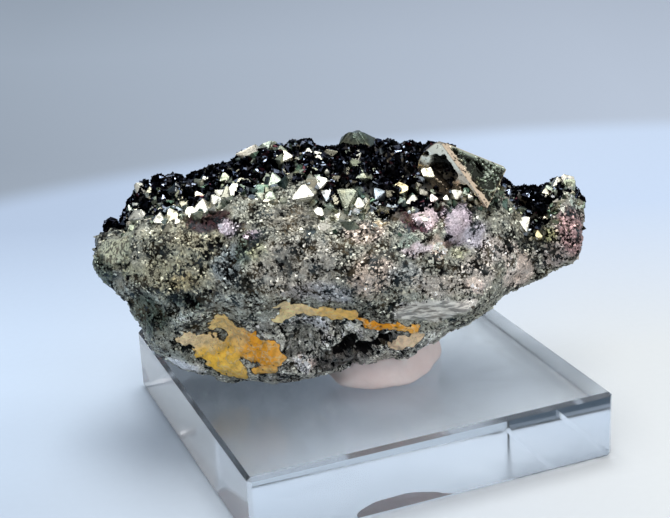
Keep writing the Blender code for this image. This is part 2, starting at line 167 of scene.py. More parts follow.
# Colour patches: (name, along, corner, reach along, reach across, colour, strength)
PATCHES = (
    ("olive gold", -22.5, 1.6, 6.0, 5.0, (0.3, 0.285, 0.2), 0.9),
    ("cream left", -25.5, 1.25, 3.4, 1.6, (0.3, 0.3, 0.23), 0.8),
    ("olive gold low", -25.5, 2.1, 4.0, 2.6, (0.28, 0.275, 0.19), 0.8),
    ("bronze stain", -22.6, 2.05, 2.4, 1.2, (0.31, 0.26, 0.14), 0.7),
    ("blue tarnish", -17.4, 1.74, 2.4, 2.8, (0.22, 0.255, 0.26), 0.9),
    ("dark green", -14.6, 1.62, 1.3, 2.2, (0.07, 0.1, 0.075), 0.9),
    ("olive right of green", -12.0, 1.75, 1.8, 1.2, (0.24, 0.25, 0.135), 0.8),
    ("dark green left", -22.6, 2.55, 3.2, 1.1, (0.07, 0.095, 0.08), 0.9),
    ("dark green low", -27.0, 3.2, 3.6, 2.6, (0.065, 0.085, 0.065), 0.95),
    ("green low", -20.3, 3.02, 3.4, 1.0, (0.56, 0.6, 0.52), 0.9),
    ("grey low", -16.5, 2.6, 4.0, 1.6, (0.3, 0.31, 0.27), 0.8),
    ("maroon left", -19.0, 1.12, 3.2, 2.0, (0.03, 0.009, 0.011), 1.0),
    ("lilac left", -16.4, 1.24, 1.9, 1.25, (0.48, 0.42, 0.46), 1.0),
    ("lilac small", -13.5, 1.42, 1.1, 0.8, (0.4, 0.33, 0.38), 1.0),
    ("grey centre", -7.0, 1.9, 6.0, 4.0, (0.26, 0.25, 0.22), 0.8),
    ("brown centre", -7.5, 1.35, 4.0, 2.0, (0.16, 0.15, 0.125), 0.7),
    ("blue centre", -3.1, 2.42, 3.4, 1.6, (0.37, 0.37, 0.37), 0.9),
    ("lilac centre", -7.3, 2.5, 2.4, 1.2, (0.3, 0.28, 0.27), 0.7),
    ("copper", 1.2, 1.2, 2.8, 2.0, (0.38, 0.31, 0.265), 0.8),
    ("gold spot", 3.2, 1.05, 0.9, 0.8, (0.46, 0.36, 0.22), 0.9),
    ("green knot", 6.3, 1.5, 1.3, 1.1, (0.21, 0.26, 0.22), 0.9),
    ("bronze", 1.4, 1.9, 3.0, 3.0, (0.38, 0.31, 0.26), 0.8),
    ("red brown", 5.2, 0.98, 1.8, 1.2, (0.018, 0.01, 0.009), 0.9),
    ("maroon rim", 7.9, 1.12, 1.9, 2.3, (0.04, 0.01, 0.018), 1.0),
    ("maroon gap", 10.7, 1.02, 2.0, 2.0, (0.025, 0.007, 0.012), 1.0),
    ("maroon under", 11.2, 1.58, 1.4, 0.8, (0.05, 0.025, 0.025), 0.9),
    ("black right of lilac", 14.3, 1.2, 0.8, 1.3, (0.012, 0.008, 0.012), 0.9),
    ("lilac high", 9.0, 1.1, 1.8, 2.1, (0.4, 0.33, 0.35), 1.0),
    ("lilac", 12.7, 1.34, 2.1, 3.0, (0.29, 0.25, 0.28), 1.0),
    ("tan under lilac", 9.4, 1.48, 1.5, 0.7, (0.37, 0.3, 0.25), 0.8),
    ("lilac low", 7.4, 1.72, 2.2, 0.9, (0.6, 0.5, 0.52), 0.9),
    ("copper right", 10.2, 1.72, 1.0, 1.2, (0.8, 0.62, 0.5), 0.9),
    ("dark glitter", 5.8, 2.0, 3.2, 1.6, (0.27, 0.28, 0.27), 0.8),
    ("lilac grey", 15.2, 1.68, 2.6, 2.0, (0.42, 0.4, 0.45), 0.9),
    ("olive right", 12.6, 1.86, 1.3, 1.0, (0.4, 0.4, 0.28), 0.7),
    ("tan", 14.6, 2.3, 3.6, 2.4, (0.36, 0.33, 0.295), 0.9),
    ("pink flash", 14.8, 2.42, 1.2, 1.0, (0.62, 0.51, 0.45), 0.9),
    ("grey lower right", 10.5, 2.25, 3.0, 1.8, (0.42, 0.38, 0.34), 0.7),
    ("green right", 17.6, 0.9, 1.8, 3.0, (0.085, 0.11, 0.085), 0.9),
    ("grey right", 17.4, 2.0, 2.0, 2.2, (0.5, 0.45, 0.42), 0.8),
    ("striated", 9.8, 2.62, 5.8, 1.6, (0.46, 0.455, 0.42), 1.0),
    ("striated right", 14.0, 2.62, 2.6, 0.9, (0.5, 0.48, 0.44), 0.9),
    ("tan neck", 22.0, 2.8, 2.4, 2.6, (0.38, 0.32, 0.28), 0.9),
    ("grey neck", 20.4, 2.0, 1.2, 2.4, (0.66, 0.56, 0.5), 0.8),
    ("gold neck", 25.0, 1.5, 1.5, 1.2, (0.44, 0.43, 0.22), 0.8),
    ("maroon knob", 28.6, 1.75, 3.0, 3.6, (0.21, 0.135, 0.135), 0.95),
    ("grey knob", 25.6, 2.5, 2.2, 1.6, (0.42, 0.35, 0.33), 0.7),
    ("green knob", 30.4, 0.5, 1.3, 2.2, (0.36, 0.42, 0.36), 1.0),
    ("feathery facet", -31.4, 1.2, 3.4, 3.6, (0.34, 0.35, 0.255), 1.0),
    ("left lobe", -33.6, 2.3, 1.9, 2.0, (0.11, 0.13, 0.1), 1.0),
    ("yellow lobe", -29.6, 2.1, 2.0, 1.6, (0.27, 0.27, 0.18), 0.8),
    ("pale stone", -24.6, 3.9, 2.6, 2.0, (0.9, 0.86, 0.78), 0.9),
    ("pink lump", -7.7, 3.55, 1.6, 1.2, (0.85, 0.7, 0.62), 1.0),
    ("grey plates", -5.4, 3.2, 3.6, 1.1, (0.6, 0.6, 0.54), 1.0),
    # The two black patches under the rim darken its hollows: painted shade
    ("black under", -2.8, 3.6, 4.4, 2.6, (0.055, 0.048, 0.045), 0.9),
    ("black under right", 3.4, 3.35, 2.4, 1.2, (0.1, 0.095, 0.09), 0.9),
    ("beige fringe", 4.0, 3.75, 4.0, 1.0, (0.36, 0.34, 0.3), 0.8),
    ("back bronze", -10.0, 6.2, 9.0, 5.0, (0.32, 0.3, 0.22), 0.7),
    ("back blue", 6.0, 6.6, 6.0, 4.0, (0.21, 0.26, 0.29), 0.7),
    ("back lilac", 15.0, 6.2, 4.0, 4.0, (0.38, 0.34, 0.38), 0.7),
    ("back green", -26.0, 6.4, 5.0, 4.0, (0.15, 0.2, 0.15), 0.7),
)
WALL_COLOUR = (0.235, 0.24, 0.20)
UNDER_COLOUR = (0.38, 0.38, 0.335)
UNDER_DRUSE = (0.006, 0.0065, 0.008)

# How much brighter the bare metal and the earth are than the colours written above and below, and their
# limits
PATCH_GAIN = 1.6
BRIGHTEST = 0.9
EARTH_GAIN = np.array((2.0, 1.8, 1.4))
EARTH_BRIGHTEST = 0.95

# Earthy crusts: (along, corner, reach along, reach across, colour)
EARTH = (
    (-21.8, 3.32, 1.6, 1.3, (0.76, 0.66, 0.5)), (-20.4, 3.38, 1.5, 1.2, (0.74, 0.62, 0.42)),
    (-19.9, 3.46, 1.4, 1.0, (0.6, 0.47, 0.24)), (-20.3, 3.56, 1.4, 1.2, (0.5, 0.34, 0.07)),
    (-18.9, 3.62, 1.6, 1.5, (0.48, 0.31, 0.04)), (-17.2, 3.68, 1.7, 1.6, (0.5, 0.35, 0.08)),
    (-15.7, 3.7, 1.4, 1.5, (0.54, 0.38, 0.12)), (-17.4, 3.5, 1.8, 1.3, (0.52, 0.34, 0.06)),
    (-18.0, 3.12, 1.3, 1.4, (0.8, 0.6, 0.28)), (-17.3, 3.28, 1.4, 1.3, (0.8, 0.6, 0.3)),
    (-16.3, 3.38, 1.5, 1.2, (0.8, 0.56, 0.26)), (-15.7, 3.24, 1.0, 1.0, (0.8, 0.56, 0.26)),
    (-18.9, 3.26, 1.2, 1.1, (0.7, 0.56, 0.28)), (-14.3, 3.26, 1.2, 1.0, (0.8, 0.38, 0.04)),
    (-13.5, 3.36, 1.5, 1.3, (0.78, 0.36, 0.02)), (-12.5, 3.42, 1.4, 1.3, (0.78, 0.36, 0.02)),
    (-11.5, 3.32, 1.2, 1.0, (0.76, 0.4, 0.07)), (-10.7, 3.42, 1.1, 1.0, (0.76, 0.44, 0.12)),
    (-11.8, 3.54, 1.3, 0.9, (0.66, 0.42, 0.14)), (-14.8, 3.46, 1.2, 0.8, (0.7, 0.36, 0.05)),
    (-13.0, 3.56, 1.2, 0.7, (0.66, 0.4, 0.1)), (-10.3, 3.1, 1.1, 0.5, (0.58, 0.52, 0.34)),
    (-9.2, 3.06, 1.2, 0.5, (0.58, 0.52, 0.34)), (-9.6, 2.86, 1.3, 0.7, (0.62, 0.54, 0.38)),
    (-8.3, 2.95, 1.4, 0.9, (0.64, 0.54, 0.36)), (-7.0, 3.0, 1.4, 0.9, (0.62, 0.5, 0.3)),
    (-5.6, 2.99, 1.4, 1.0, (0.62, 0.46, 0.21)), (-4.2, 2.98, 1.4, 1.0, (0.62, 0.44, 0.17)),
    (-2.8, 2.96, 1.4, 1.0, (0.58, 0.4, 0.14)), (-1.8, 2.88, 1.0, 0.7, (0.56, 0.38, 0.14)),
    (-0.6, 3.0, 0.9, 0.5, (0.6, 0.27, 0.02)), (0.6, 3.08, 1.2, 0.75, (0.6, 0.26, 0.012)),
    (2.2, 3.1, 1.4, 0.65, (0.54, 0.23, 0.012)), (3.4, 3.06, 1.2, 0.6, (0.54, 0.23, 0.012)),
    (4.8, 3.02, 1.3, 0.6, (0.54, 0.26, 0.02)), (6.4, 2.98, 1.2, 0.55, (0.52, 0.27, 0.04)),
    (8.0, 2.94, 1.0, 0.5, (0.46, 0.25, 0.05)), (4.7, 3.46, 1.2, 1.0, (0.56, 0.47, 0.4)),
    (6.5, 3.4, 1.5, 1.1, (0.58, 0.49, 0.42)), (8.6, 3.36, 1.3, 0.9, (0.54, 0.45, 0.37)),
    (-2.0, 4.6, 5.0, 3.2, (0.5, 0.33, 0.1)), (-20.0, 5.0, 4.0, 2.6, (0.48, 0.29, 0.04)),
    (8.0, 5.3, 3.4, 2.0, (0.5, 0.34, 0.13)),
)
EARTH_COLOUR = (0.50, 0.33, 0.10)

# Hollows under the rim and pits in the wall, painted black as shade where they are deep: (along, corner,
# radius, depth)
HOLLOWS = (
    (-1.9, 3.34, 1.5, 1.6), (-0.6, 3.44, 1.5, 1.6), (-3.8, 3.6, 0.9, 1.0), (-2.9, 3.46, 1.3, 1.4),
    (3.2, 3.36, 1.2, 1.4), (1.4, 3.4, 1.0, 1.1), (-9.5, 3.0, 0.5, 0.7), (-22.2, 2.5, 1.0, 0.7),
    (-23.6, 2.8, 1.0, 0.7), (-20.4, 2.66, 0.8, 0.6), (-25.8, 3.05, 0.9, 0.6), (-31.6, 1.95, 0.5, 0.7),
    (-30.4, 1.75, 0.5, 0.6), (-12.7, 1.52, 0.8, 0.6), (-14.3, 1.8, 0.8, 0.6), (-16.9, 1.72, 0.7, 0.5),
    (11.4, 2.78, 0.5, 0.5), (22.3, 1.6, 0.9, 0.7), (21.7, 3.1, 0.8, 0.5), (6.2, 0.9, 0.9, 0.8),
    (4.0, 0.94, 0.9, 0.9), (10.7, 1.06, 0.7, 1.0), (14.5, 1.14, 0.9, 0.7), (7.4, 1.2, 0.6, 0.6),
    (10.5, 0.62, 2.4, 1.2), (12.8, 0.86, 2.6, 1.9), (15.4, 0.95, 2.0, 1.4), (-17.4, 0.7, 2.0, 0.6),
    (-35.3, 1.75, 1.1, 1.3), (-35.2, 2.4, 1.6, 0.9), (-30.9, 3.45, 0.8, 0.6), (-33.4, 1.85, 0.6, 0.5),
    (31.3, 2.0, 2.6, 0.7), (31.2, 3.0, 1.8, 0.6), (-4.8, 3.72, 1.0, 0.9), (-3.0, 3.74, 1.1, 1.0),
    (-6.4, 3.8, 0.8, 0.7), (-1.2, 3.64, 0.9, 0.9), (0.8, 3.58, 0.9, 0.9),
)

# Smoother, paler faces with few grains on them: (along, corner, reach along, reach across, edge sharpness)
SMOOTH_FACES = (
    (9.0, 1.12, 1.6, 1.9, 0.1), (12.6, 1.36, 2.0, 2.5, 0.1), (-16.2, 1.26, 0.9, 0.6, 0.15),
    (8.0, 1.7, 1.8, 1.1, 0.2), (22.0, 2.8, 2.2, 2.2, 0.2), (-25.0, 3.85, 3.0, 2.4, 0.2),
    (15.4, 2.4, 2.4, 1.2, 0.25), (-27.5, 2.0, 1.6, 1.2, 0.3),
)

# The two faces drawn with strokes: (along, corner, reach along, reach across)
STRIATED_FACE = (9.8, 2.63, 6.0, 1.6)
FEATHERY_FACE = (-31.4, 1.2, 3.4, 3.6)

# Where the wall has more dark pits, and where more loose glittering grains: (along, corner, reaches,
# amount)
ZONES = {
    "pits": (
        (-25.1, 1.65, 3.4, 3.0, 1.0), (-22.3, 2.58, 4.5, 2.0, 1.2), (-27.0, 3.3, 3.0, 2.4, 0.7),
        (-16.4, 1.73, 2.6, 2.6, 1.3), (-19.0, 1.1, 2.6, 1.2, 1.1), (-12.7, 1.5, 2.4, 2.0, 0.9),
        (-7.0, 2.8, 3.5, 1.4, 0.8), (5.5, 1.1, 2.0, 1.4, 1.1), (5.5, 2.06, 4.0, 2.0, 1.0),
        (13.9, 2.5, 2.5, 0.7, 1.2), (14.6, 1.2, 1.8, 1.4, 1.0), (27.6, 1.8, 3.6, 3.8, 1.7),
        (-14.0, 3.0, 2.0, 1.0, 0.8), (18.0, 1.9, 2.0, 2.0, 0.8),
    ),
    "glitter": (
        (2.0, 1.25, 3.0, 2.2, 1.0), (10.4, 1.76, 2.2, 1.6, 1.0), (14.9, 2.45, 2.0, 1.8, 0.9),
        (13.0, 1.9, 3.5, 2.0, 0.8), (5.5, 2.06, 5.0, 2.4, 0.8), (27.0, 1.6, 3.5, 3.4, 0.8),
        (-25.0, 1.05, 3.5, 1.2, 0.8), (-9.0, 1.2, 5.0, 1.4, 0.6), (-7.7, 3.58, 1.6, 1.4, 1.0),
        (0.0, 2.2, 5.0, 2.5, 0.6), (18.5, 1.1, 2.0, 2.4, 0.8),
    ),
}

# The crystals that the solid has. The largest two: (centre, radius, three angles in degrees)
MAIN_CRYSTAL = {
    "centre": (14.52, -1.08, 35.99),
    "apex": (-2.97, -2.57, 5.72),
    "front": (2.70, -6.88, -2.36),
    "right": (6.20, 0.24, 0.70),
}

# Its points are shared out in this many steps along each edge
LATTICE_STEPS = 72

# Recesses in the crystal's left face, as corners (share towards the front point, share towards the left
# point)
LEFT_RECESSES = (
    ((0.16, 0.036), (0.10, 0.158), (0.11, 0.50), (0.22, 0.49), (0.46, 0.46), (0.47, 0.085)),
    ((0.52, 0.20), (0.60, 0.05), (0.93, 0.05), (0.80, 0.19), (0.70, 0.27)),
)

# Pits in its right face: (share towards the front point, share towards the right point, radius as a share,
# depth)
RIGHT_PITS = (
    (0.08, 0.19, 0.06, 0.6), (0.25, 0.14, 0.045, 0.5), (0.15, 0.32, 0.055, 0.6), (0.17, 0.48, 0.085, 0.9),
    (0.56, 0.13, 0.045, 0.6), (0.68, 0.12, 0.05, 0.6), (0.4, 0.2, 0.035, 0.4), (0.3, 0.4, 0.05, 0.5),
    (0.44, 0.32, 0.04, 0.4), (0.08, 0.62, 0.05, 0.5), (0.3, 0.6, 0.045, 0.4), (0.52, 0.34, 0.04, 0.4),
)

# Its tints: the frame, the painted highlight that its tip adds to that, and the right face
FRAME_TINT = (0.84, 0.70, 0.52)
FRAME_TIP_HIGHLIGHT = (0.12, 0.30, 0.36)
GREEN_FACE = (0.50, 0.57, 0.46)

PEAK_CRYSTAL = ((0.9, 4.6, 39.55), 3.2, (10, -8, 32))
PEAK_TINT = (0.10, 0.13, 0.10)

# Pale brass crystals: (along, corner, radius, lift, roll in degrees, stretch, kind of tint)
BRASS_CRYSTALS = (
    (-19.9, 0.78, 1.55, 0.45, 10, 1.1, "cream"), (-18.8, 0.68, 1.35, 0.45, 55, 1.0, "cream"),
    (-18.2, 0.52, 1.25, 0.4, 80, 1.0, "cream"), (-17.2, 0.6, 1.3, 0.35, 35, 1.4, "brass"),
    (-20.9, 0.86, 1.25, 0.4, 20, 1.0, "cream"), (-16.2, 0.62, 1.2, 0.35, 62, 1.5, "cream"),
    (-27.6, 0.74, 1.45, 0.3, 25, 1.0, "cream"), (-28.4, 0.16, 1.2, 0.25, 70, 1.0, "cream"),
    (-23.2, 0.86, 1.45, 0.3, 40, 1.0, "brass"), (-24.8, 0.88, 1.15, 0.3, 15, 1.0, "cream"),
    (-19.5, 0.1, 1.2, 0.3, 65, 1.0, "cream"), (-17.4, 0.16, 1.0, 0.3, 30, 1.0, "green"),
    (-13.6, 0.16, 1.5, 0.2, 5, 1.9, "cream"), (-8.4, 0.34, 1.45, 0.22, 50, 1.3, "cream"),
    (-10.8, -0.16, 1.1, 0.3, 0, 1.9, "green"), (-5.7, 0.34, 0.9, 0.35, 25, 1.0, "cream"),
    (-4.7, 0.38, 0.85, 0.35, 60, 1.0, "cream"), (-9.6, 0.72, 1.55, 0.35, 38, 1.1, "mint"),
    (-11.0, 0.8, 1.45, 0.05, 75, 1.1, "dark green"), (-9.9, 1.02, 1.0, 0.3, 12, 1.2, "mint"),
    (-6.2, 0.93, 1.95, 0.22, 28, 1.6, "cream"), (-4.4, 0.68, 1.2, 0.3, 66, 1.0, "cream"),
    (-3.6, 0.74, 1.0, 0.35, 88, 1.8, "steel"), (0.4, 0.6, 1.7, 0.1, 20, 1.3, "green"),
    (-1.0, 0.74, 1.9, 0.1, 82, 1.5, "green"), (0.0, 0.82, 1.0, 0.35, 33, 1.0, "cream"),
    (3.2, 0.66, 1.5, 0.2, 58, 1.2, "steel"), (-4.2, 0.95, 0.9, 0.3, 5, 1.0, "cream"),
    (13.0, 1.02, 1.05, 0.3, 70, 1.0, "cream"), (7.2, 0.86, 1.15, 0.25, 15, 1.1, "cream"),
    (10.2, 0.88, 0.85, 0.35, 40, 1.0, "pink"), (28.4, 0.1, 1.2, 0.3, 22, 1.0, "cream"),
    (29.4, 0.18, 1.05, 0.3, 62, 1.1, "cream"), (27.2, 0.16, 0.95, 0.3, 47, 1.3, "mint"),
    (29.8, 0.3, 1.2, 0.05, 80, 1.2, "green"), (22.4, 0.92, 1.05, 0.3, 85, 1.6, "cream"),
    (23.8, 1.2, 0.8, 0.3, 30, 1.0, "gold"), (9.0, 0.55, 1.3, 0.2, 10, 1.0, "brass"),
    (5.6, 0.62, 1.1, 0.2, 52, 1.0, "gold"), (-25.6, 0.3, 1.15, 0.25, 18, 1.0, "brass"),
    (-30.6, 0.55, 1.25, 0.2, 42, 1.0, "brass"), (26.2, 0.3, 0.9, 0.3, 8, 1.0, "brass"),
    (15.4, 0.98, 0.85, 0.45, 20, 1.0, "cream"), (16.7, 1.0, 0.95, 0.5, 60, 1.1, "green"),
    (16.2, 1.12, 0.75, 0.4, 35, 1.0, "cream"), (17.6, 0.86, 0.8, 0.4, 75, 1.0, "brass"),
    (11.9, 0.98, 0.75, 0.4, 10, 1.0, "cream"), (14.4, 1.06, 0.65, 0.4, 45, 1.0, "cream"),
)
TINTS = {
    "cream": (0.72, 0.71, 0.61),
    "brass": (0.50, 0.48, 0.36),
    "gold": (0.56, 0.48, 0.28),
    "green": (0.34, 0.38, 0.28),
    "mint": (0.46, 0.53, 0.43),
    "dark green": (0.07, 0.12, 0.085),
    "pink": (0.55, 0.46, 0.42),
    "steel": (0.34, 0.39, 0.43),
}

# How near the middle a crystal's broadest face lies, against the others
BROAD_FACE_DISTANCE = 0.72

# How many small crystals grow against each of them, and how many corners a millimetre round the section is
SATELLITES = 6
CORNERS_PER_MM = 0.13

# The direction in which the pale crystals' broad faces look, so that the key light glints in them
GLINT = (-0.04, -0.75, 0.66)

# How many grains and crystals are strewn
WALL_GRAINS = 7000
DRUSE_GRAINS = 18000
FRINGE_CRYSTALS = 800

# Where the wall has fewer loose grains: (field, share of them that is missing)
WITHOUT_GRAINS = (("striated", 1.0), ("under", 0.6), ("smooth", 0.9), ("gaps", 1.0), ("feathery", 1.0))

# Where more of the small pale crystals grow: (along, corner, reach along, reach across)
KNOB_TOP = (28.6, 0.3, 2.6, 2.6)

# Tints of the druse, and the darkest and palest tones of the finishes
DRUSE_DARK = (0.0026, 0.0030, 0.0046)
DRUSE_STEEL = (0.30, 0.35, 0.45)
DRUSE_WINE = (0.04, 0.014, 0.018)
# Black painted into the crust's hollows, pits and creases as shade
HOLLOW_SHADE_BLACK = (0.005, 0.005, 0.006, 1.0)
STAIN_BLACK = (0.03, 0.03, 0.028, 1.0)
# Cream of the ochre's raised ridges: partly the earth's own colour, partly painted light
PALE_AND_LIT_OCHRE_RIDGE = (0.92, 0.76, 0.44, 1.0)
ACRYLIC_CLEAR = (0.97, 0.985, 1.0, 1.0)
ACRYLIC_BLUE = (0.80, 0.90, 0.97, 1.0)
PUTTY_DULL = (0.72, 0.58, 0.56, 1.0)
PUTTY_PALE = (0.90, 0.82, 0.79, 1.0)

# Putty pad, in the specimen's own directions. Its profile is (share of the radius, share of the height).
PUTTY_CENTRE = (2.6, -1.2)
PUTTY_HALF_WIDTH = 8.4
PUTTY_HALF_DEPTH = 9.0
PUTTY_OVERLAP = 0.25
PUTTY_ANGLES = 120
PUTTY_PROFILE = (
    (0.3, 0.0), (0.62, 0.0), (0.86, 0.0), (0.95, 0.0), (0.985, 0.03), (1.0, 0.1), (0.995, 0.22),
    (0.975, 0.4), (0.96, 0.58), (0.958, 0.74), (0.962, 0.88), (0.955, 0.97), (0.93, 1.02), (0.86, 1.03),
    (0.6, 1.03), (0.3, 1.03),
)

# Camera, fitted to the block's corners
CAMERA_PLACE = (-68.83, -168.81, 93.45)
CAMERA_TURN = -21.31
CAMERA_DOWN = 20.7
CAMERA_ROLL = -2.74
CAMERA_LENS = 76.56

# Table: a round pale top whose far edge fades into the backdrop. Its colours run along the picture's two
# directions.
TABLE_CENTRE = (16.0, -109.0)
TABLE_RADIUS = 243.0
TABLE_FADE = 9.0
TABLE_ANGLES = 96
TABLE_RIGHT = (0.932, -0.363, 0.0)
TABLE_NEAR = (-0.363, -0.932, 0.0)
# The far colours are darker than the near ones, and the backdrop darker on its left, as painted light
# falloff
TABLE_COLOURS = {
    "far left": (0.40, 0.49, 0.63, 1.0),
    "far right": (0.50, 0.60, 0.75, 1.0),
    "near left": (0.57, 0.685, 0.83, 1.0),
    "near right": (0.64, 0.67, 0.68, 1.0),
    "backdrop left": (0.315, 0.37, 0.44, 1.0),
    "backdrop right": (0.42, 0.48, 0.57, 1.0),
}

# Lights: (name, place, size, watts, colour), the broad one nearly overhead and two small ones that glint in
# the crystals; and the room, near and far, each from its left to its right
LIGHTS = (
    ("overhead", (30.0, 80.0, 600.0), (320, 320), 2.2, (1.0, 0.99, 0.97)),
    ("glint", (-150.0, -240.0, 520.0), (170, 170), 0.70, (1.0, 1.0, 1.0)),
    ("side glint", (330.0, -260.0, 300.0), (120, 160), 0.35, (1.0, 0.98, 0.96)),
)
LIGHT_AIM = (0.0, 0.0, 20.0)
ROOM_COLOURS = (
    ((0.55, 0.56, 0.59, 1.0), (0.97, 0.94, 0.96, 1.0)),
    ((0.05, 0.09, 0.14, 1.0), (0.62, 0.73, 0.86, 1.0)),
)
ROOM_STRENGTH = 0.75


def lattice_values(cells, seed):
    """A repeatable value from -1 to 1 for each whole-number lattice point."""
    mixed = (cells[..., 0] * 73856 + cells[..., 1] * 19349 + cells[..., 2] * 83492 + seed * 9176) & 0xFFFFF
    for factor in (48271, 69621):
        mixed = (mixed * factor + 1013) & 0x7FFFFFFF
        mixed = (mixed ^ (mixed >> 11)) & 0xFFFFF
    return mixed / 0x7FFFF - 1.0


def smooth_noise(points, length, seed):
    """Value noise: the lattice values of the eight corners round a point, blended with a smooth step."""
    scaled = points / length
    cells = np.floor(scaled).astype(np.int64)
    share = scaled - cells
    share = share * share * (3.0 - 2.0 * share)
    total = np.zeros(points.shape[:-1])
    for corner in np.ndindex(2, 2, 2):
        weight = np.prod(np.where(corner, share, 1.0 - share), axis=-1)
        total += weight * lattice_values(cells + np.array(corner), seed)
    return total


def warp_of(points, length, seed):
    """Three value noises as a vector."""
    return np.stack([smooth_noise(points, length, seed + axis) for axis in range(3)], axis=-1)


def rough_noise(points, length, seed, octaves=3):
    """Value noise summed over octaves, each half as long and half as strong as the one before."""
    return sum(smooth_noise(points, length / 2 ** k, seed + k) / 2 ** k for k in range(octaves))


def nearest_seeds(points, length, seed):
    """One jittered seed in each lattice cell: the distance to the nearest one and to the second nearest, in
    cell lengths, and the nearest one's own value from -1 to 1."""
    scaled = points / length
    cells = np.floor(scaled).astype(np.int64)
    first = np.full(points.shape[:-1], FAR)
    second = first.copy()
    value = np.zeros(points.shape[:-1])
    for step in np.ndindex(3, 3, 3):
        cell = cells + np.array(step) - 1
        jitter = np.stack([lattice_values(cell, seed + axis) for axis in range(3)], axis=-1)
        distance = np.linalg.norm(cell + 0.5 + 0.45 * jitter - scaled, axis=-1)
        closer = distance < first
        second = np.where(closer, first, np.minimum(second, distance))
        value = np.where(closer, lattice_values(cell, seed + 3), value)
        first = np.where(closer, distance, first)
    return first, second, value


def smooth_step(low, high, values):
    share = np.clip((values - low) / (high - low), 0.0, 1.0)
    return share * share * (3.0 - 2.0 * share)


def line_at(line, along):
    """A line's value at a distance along, its corners rounded by averaging to both sides."""
    table = np.array(line)
    offsets = (-LINE_ROUNDING, 0.0, LINE_ROUNDING)
    return sum(np.interp(along + offset, table[:, 0], table[:, 1]) for offset in offsets) / len(offsets)


def section_corners(along):
    """The corners of the section at each distance, as (depth, height): ridge, shoulder, front, rim, the
    front and back of the base, and the lower and upper back."""
    front, back = line_at(FRONT, along), line_at(BACK, along)
    ridge, shoulder = line_at(RIDGE, along), line_at(SHOULDER, along)
    rim, base = line_at(RIM, along), line_at(BASE, along)

    def depth(share):
        return front + (back - front) * share

    def height(share):
        return base + (ridge - base) * share

    corners = (
        (depth(RIDGE_DEPTH), ridge),
        (depth(SHOULDER_DEPTH), shoulder),
        (front, (shoulder + rim) / 2),
        (depth(RIM_DEPTH), rim),
        (depth(BASE_FRONT_DEPTH), base),
        (depth(BASE_BACK_DEPTH), height(BASE_BACK_HEIGHT)),
        (depth(BACK_LOW_DEPTH), height(BACK_LOW_HEIGHT)),
        (depth(BACK_HIGH_DEPTH), height(BACK_HIGH_HEIGHT)),
    )
    return np.stack([np.stack(corner, axis=-1) for corner in corners], axis=-2)


def smooth_skin(along, around):
    """The point at a distance along and a number of corners around from the ridge: a closed Catmull-Rom
    curve through the section's corners."""
    corners = section_corners(along)
    before = np.floor(around).astype(int)
    t = (around - before)[..., None]

    def corner(step):
        index = ((before + step) % SECTION_CORNERS)[..., None, None]
        return np.take_along_axis(corners, np.broadcast_to(index, (*along.shape, 1, 2)), axis=-2)[..., 0, :]

    a, b, c, d = corner(-1), corner(0), corner(1), corner(2)
    flat = b + 0.5 * t * (c - a + t * (2 * a - 5 * b + 4 * c - d + t * (3 * (b - c) + d - a)))
    return np.concatenate([along[..., None], flat], axis=-1)


def outward(along, around):
    """The smooth skin's outward direction, from its slopes along and around."""
    slope_along = smooth_skin(along + 0.2, around) - smooth_skin(along - 0.2, around)
    slope_around = smooth_skin(along, around + 0.05) - smooth_skin(along, around - 0.05)
    normal = np.cross(slope_around, slope_along)
    return normal / np.maximum(np.linalg.norm(normal, axis=-1, keepdims=True), 1e-12)


def lift(along, around):
    """How much higher the looks' surface lies than the solid's."""
    signed = front_corner(around)
    over = smooth_step(1.25, 0.45, signed) * smooth_step(-2.4, -1.2, signed)
    below = smooth_step(2.9, 3.5, np.abs(signed))
    return line_at(TOP_LIFT, along) * over + line_at(UNDER_LIFT, along) * below


def skin(along, around):
    """The solid's surface: the smooth skin, raised or hollowed by the relief, and moved by noise; and then
    lifted."""
    points = smooth_skin(along, around)
    normals = outward(along, around)
    raised = np.zeros(along.shape)
    for at, corner, radius, height in RELIEF:
        centre = smooth_skin(np.array(at), np.array(corner))
        distance = np.linalg.norm(points - centre, axis=-1) / radius
        raised += height * np.exp(-distance * distance)
    moved = points + normals * raised[..., None]
    for size, length, seed in LUMPS:
        moved = moved + size * warp_of(points, length, seed)
    moved[..., 2] += lift(along, around)
    return moved


def spot(points, at, corner, reach_along, reach_across):
    """How near points are to a named place on the skin: 1 there, falling as a bell over its two reaches."""
    centre = skin(np.array(at), np.array(corner))
    apart = points - centre
    along = apart[..., 0] / reach_along
    across = np.hypot(apart[..., 1], apart[..., 2]) / reach_across
    return np.exp(-along * along - across * across)


def zone_value(points, name, least):
    """The strongest of the named zones at each point, at least the given value."""
    value = np.full(points.shape[:-1], least)
    for *place, amount in ZONES[name]:
        value = np.maximum(value, amount * spot(points, *place))
    return value


def front_corner(around):
    """Corners from the ridge, counted from minus four at the back to four at the front."""
    return (around + 4.0) % 8.0 - 4.0


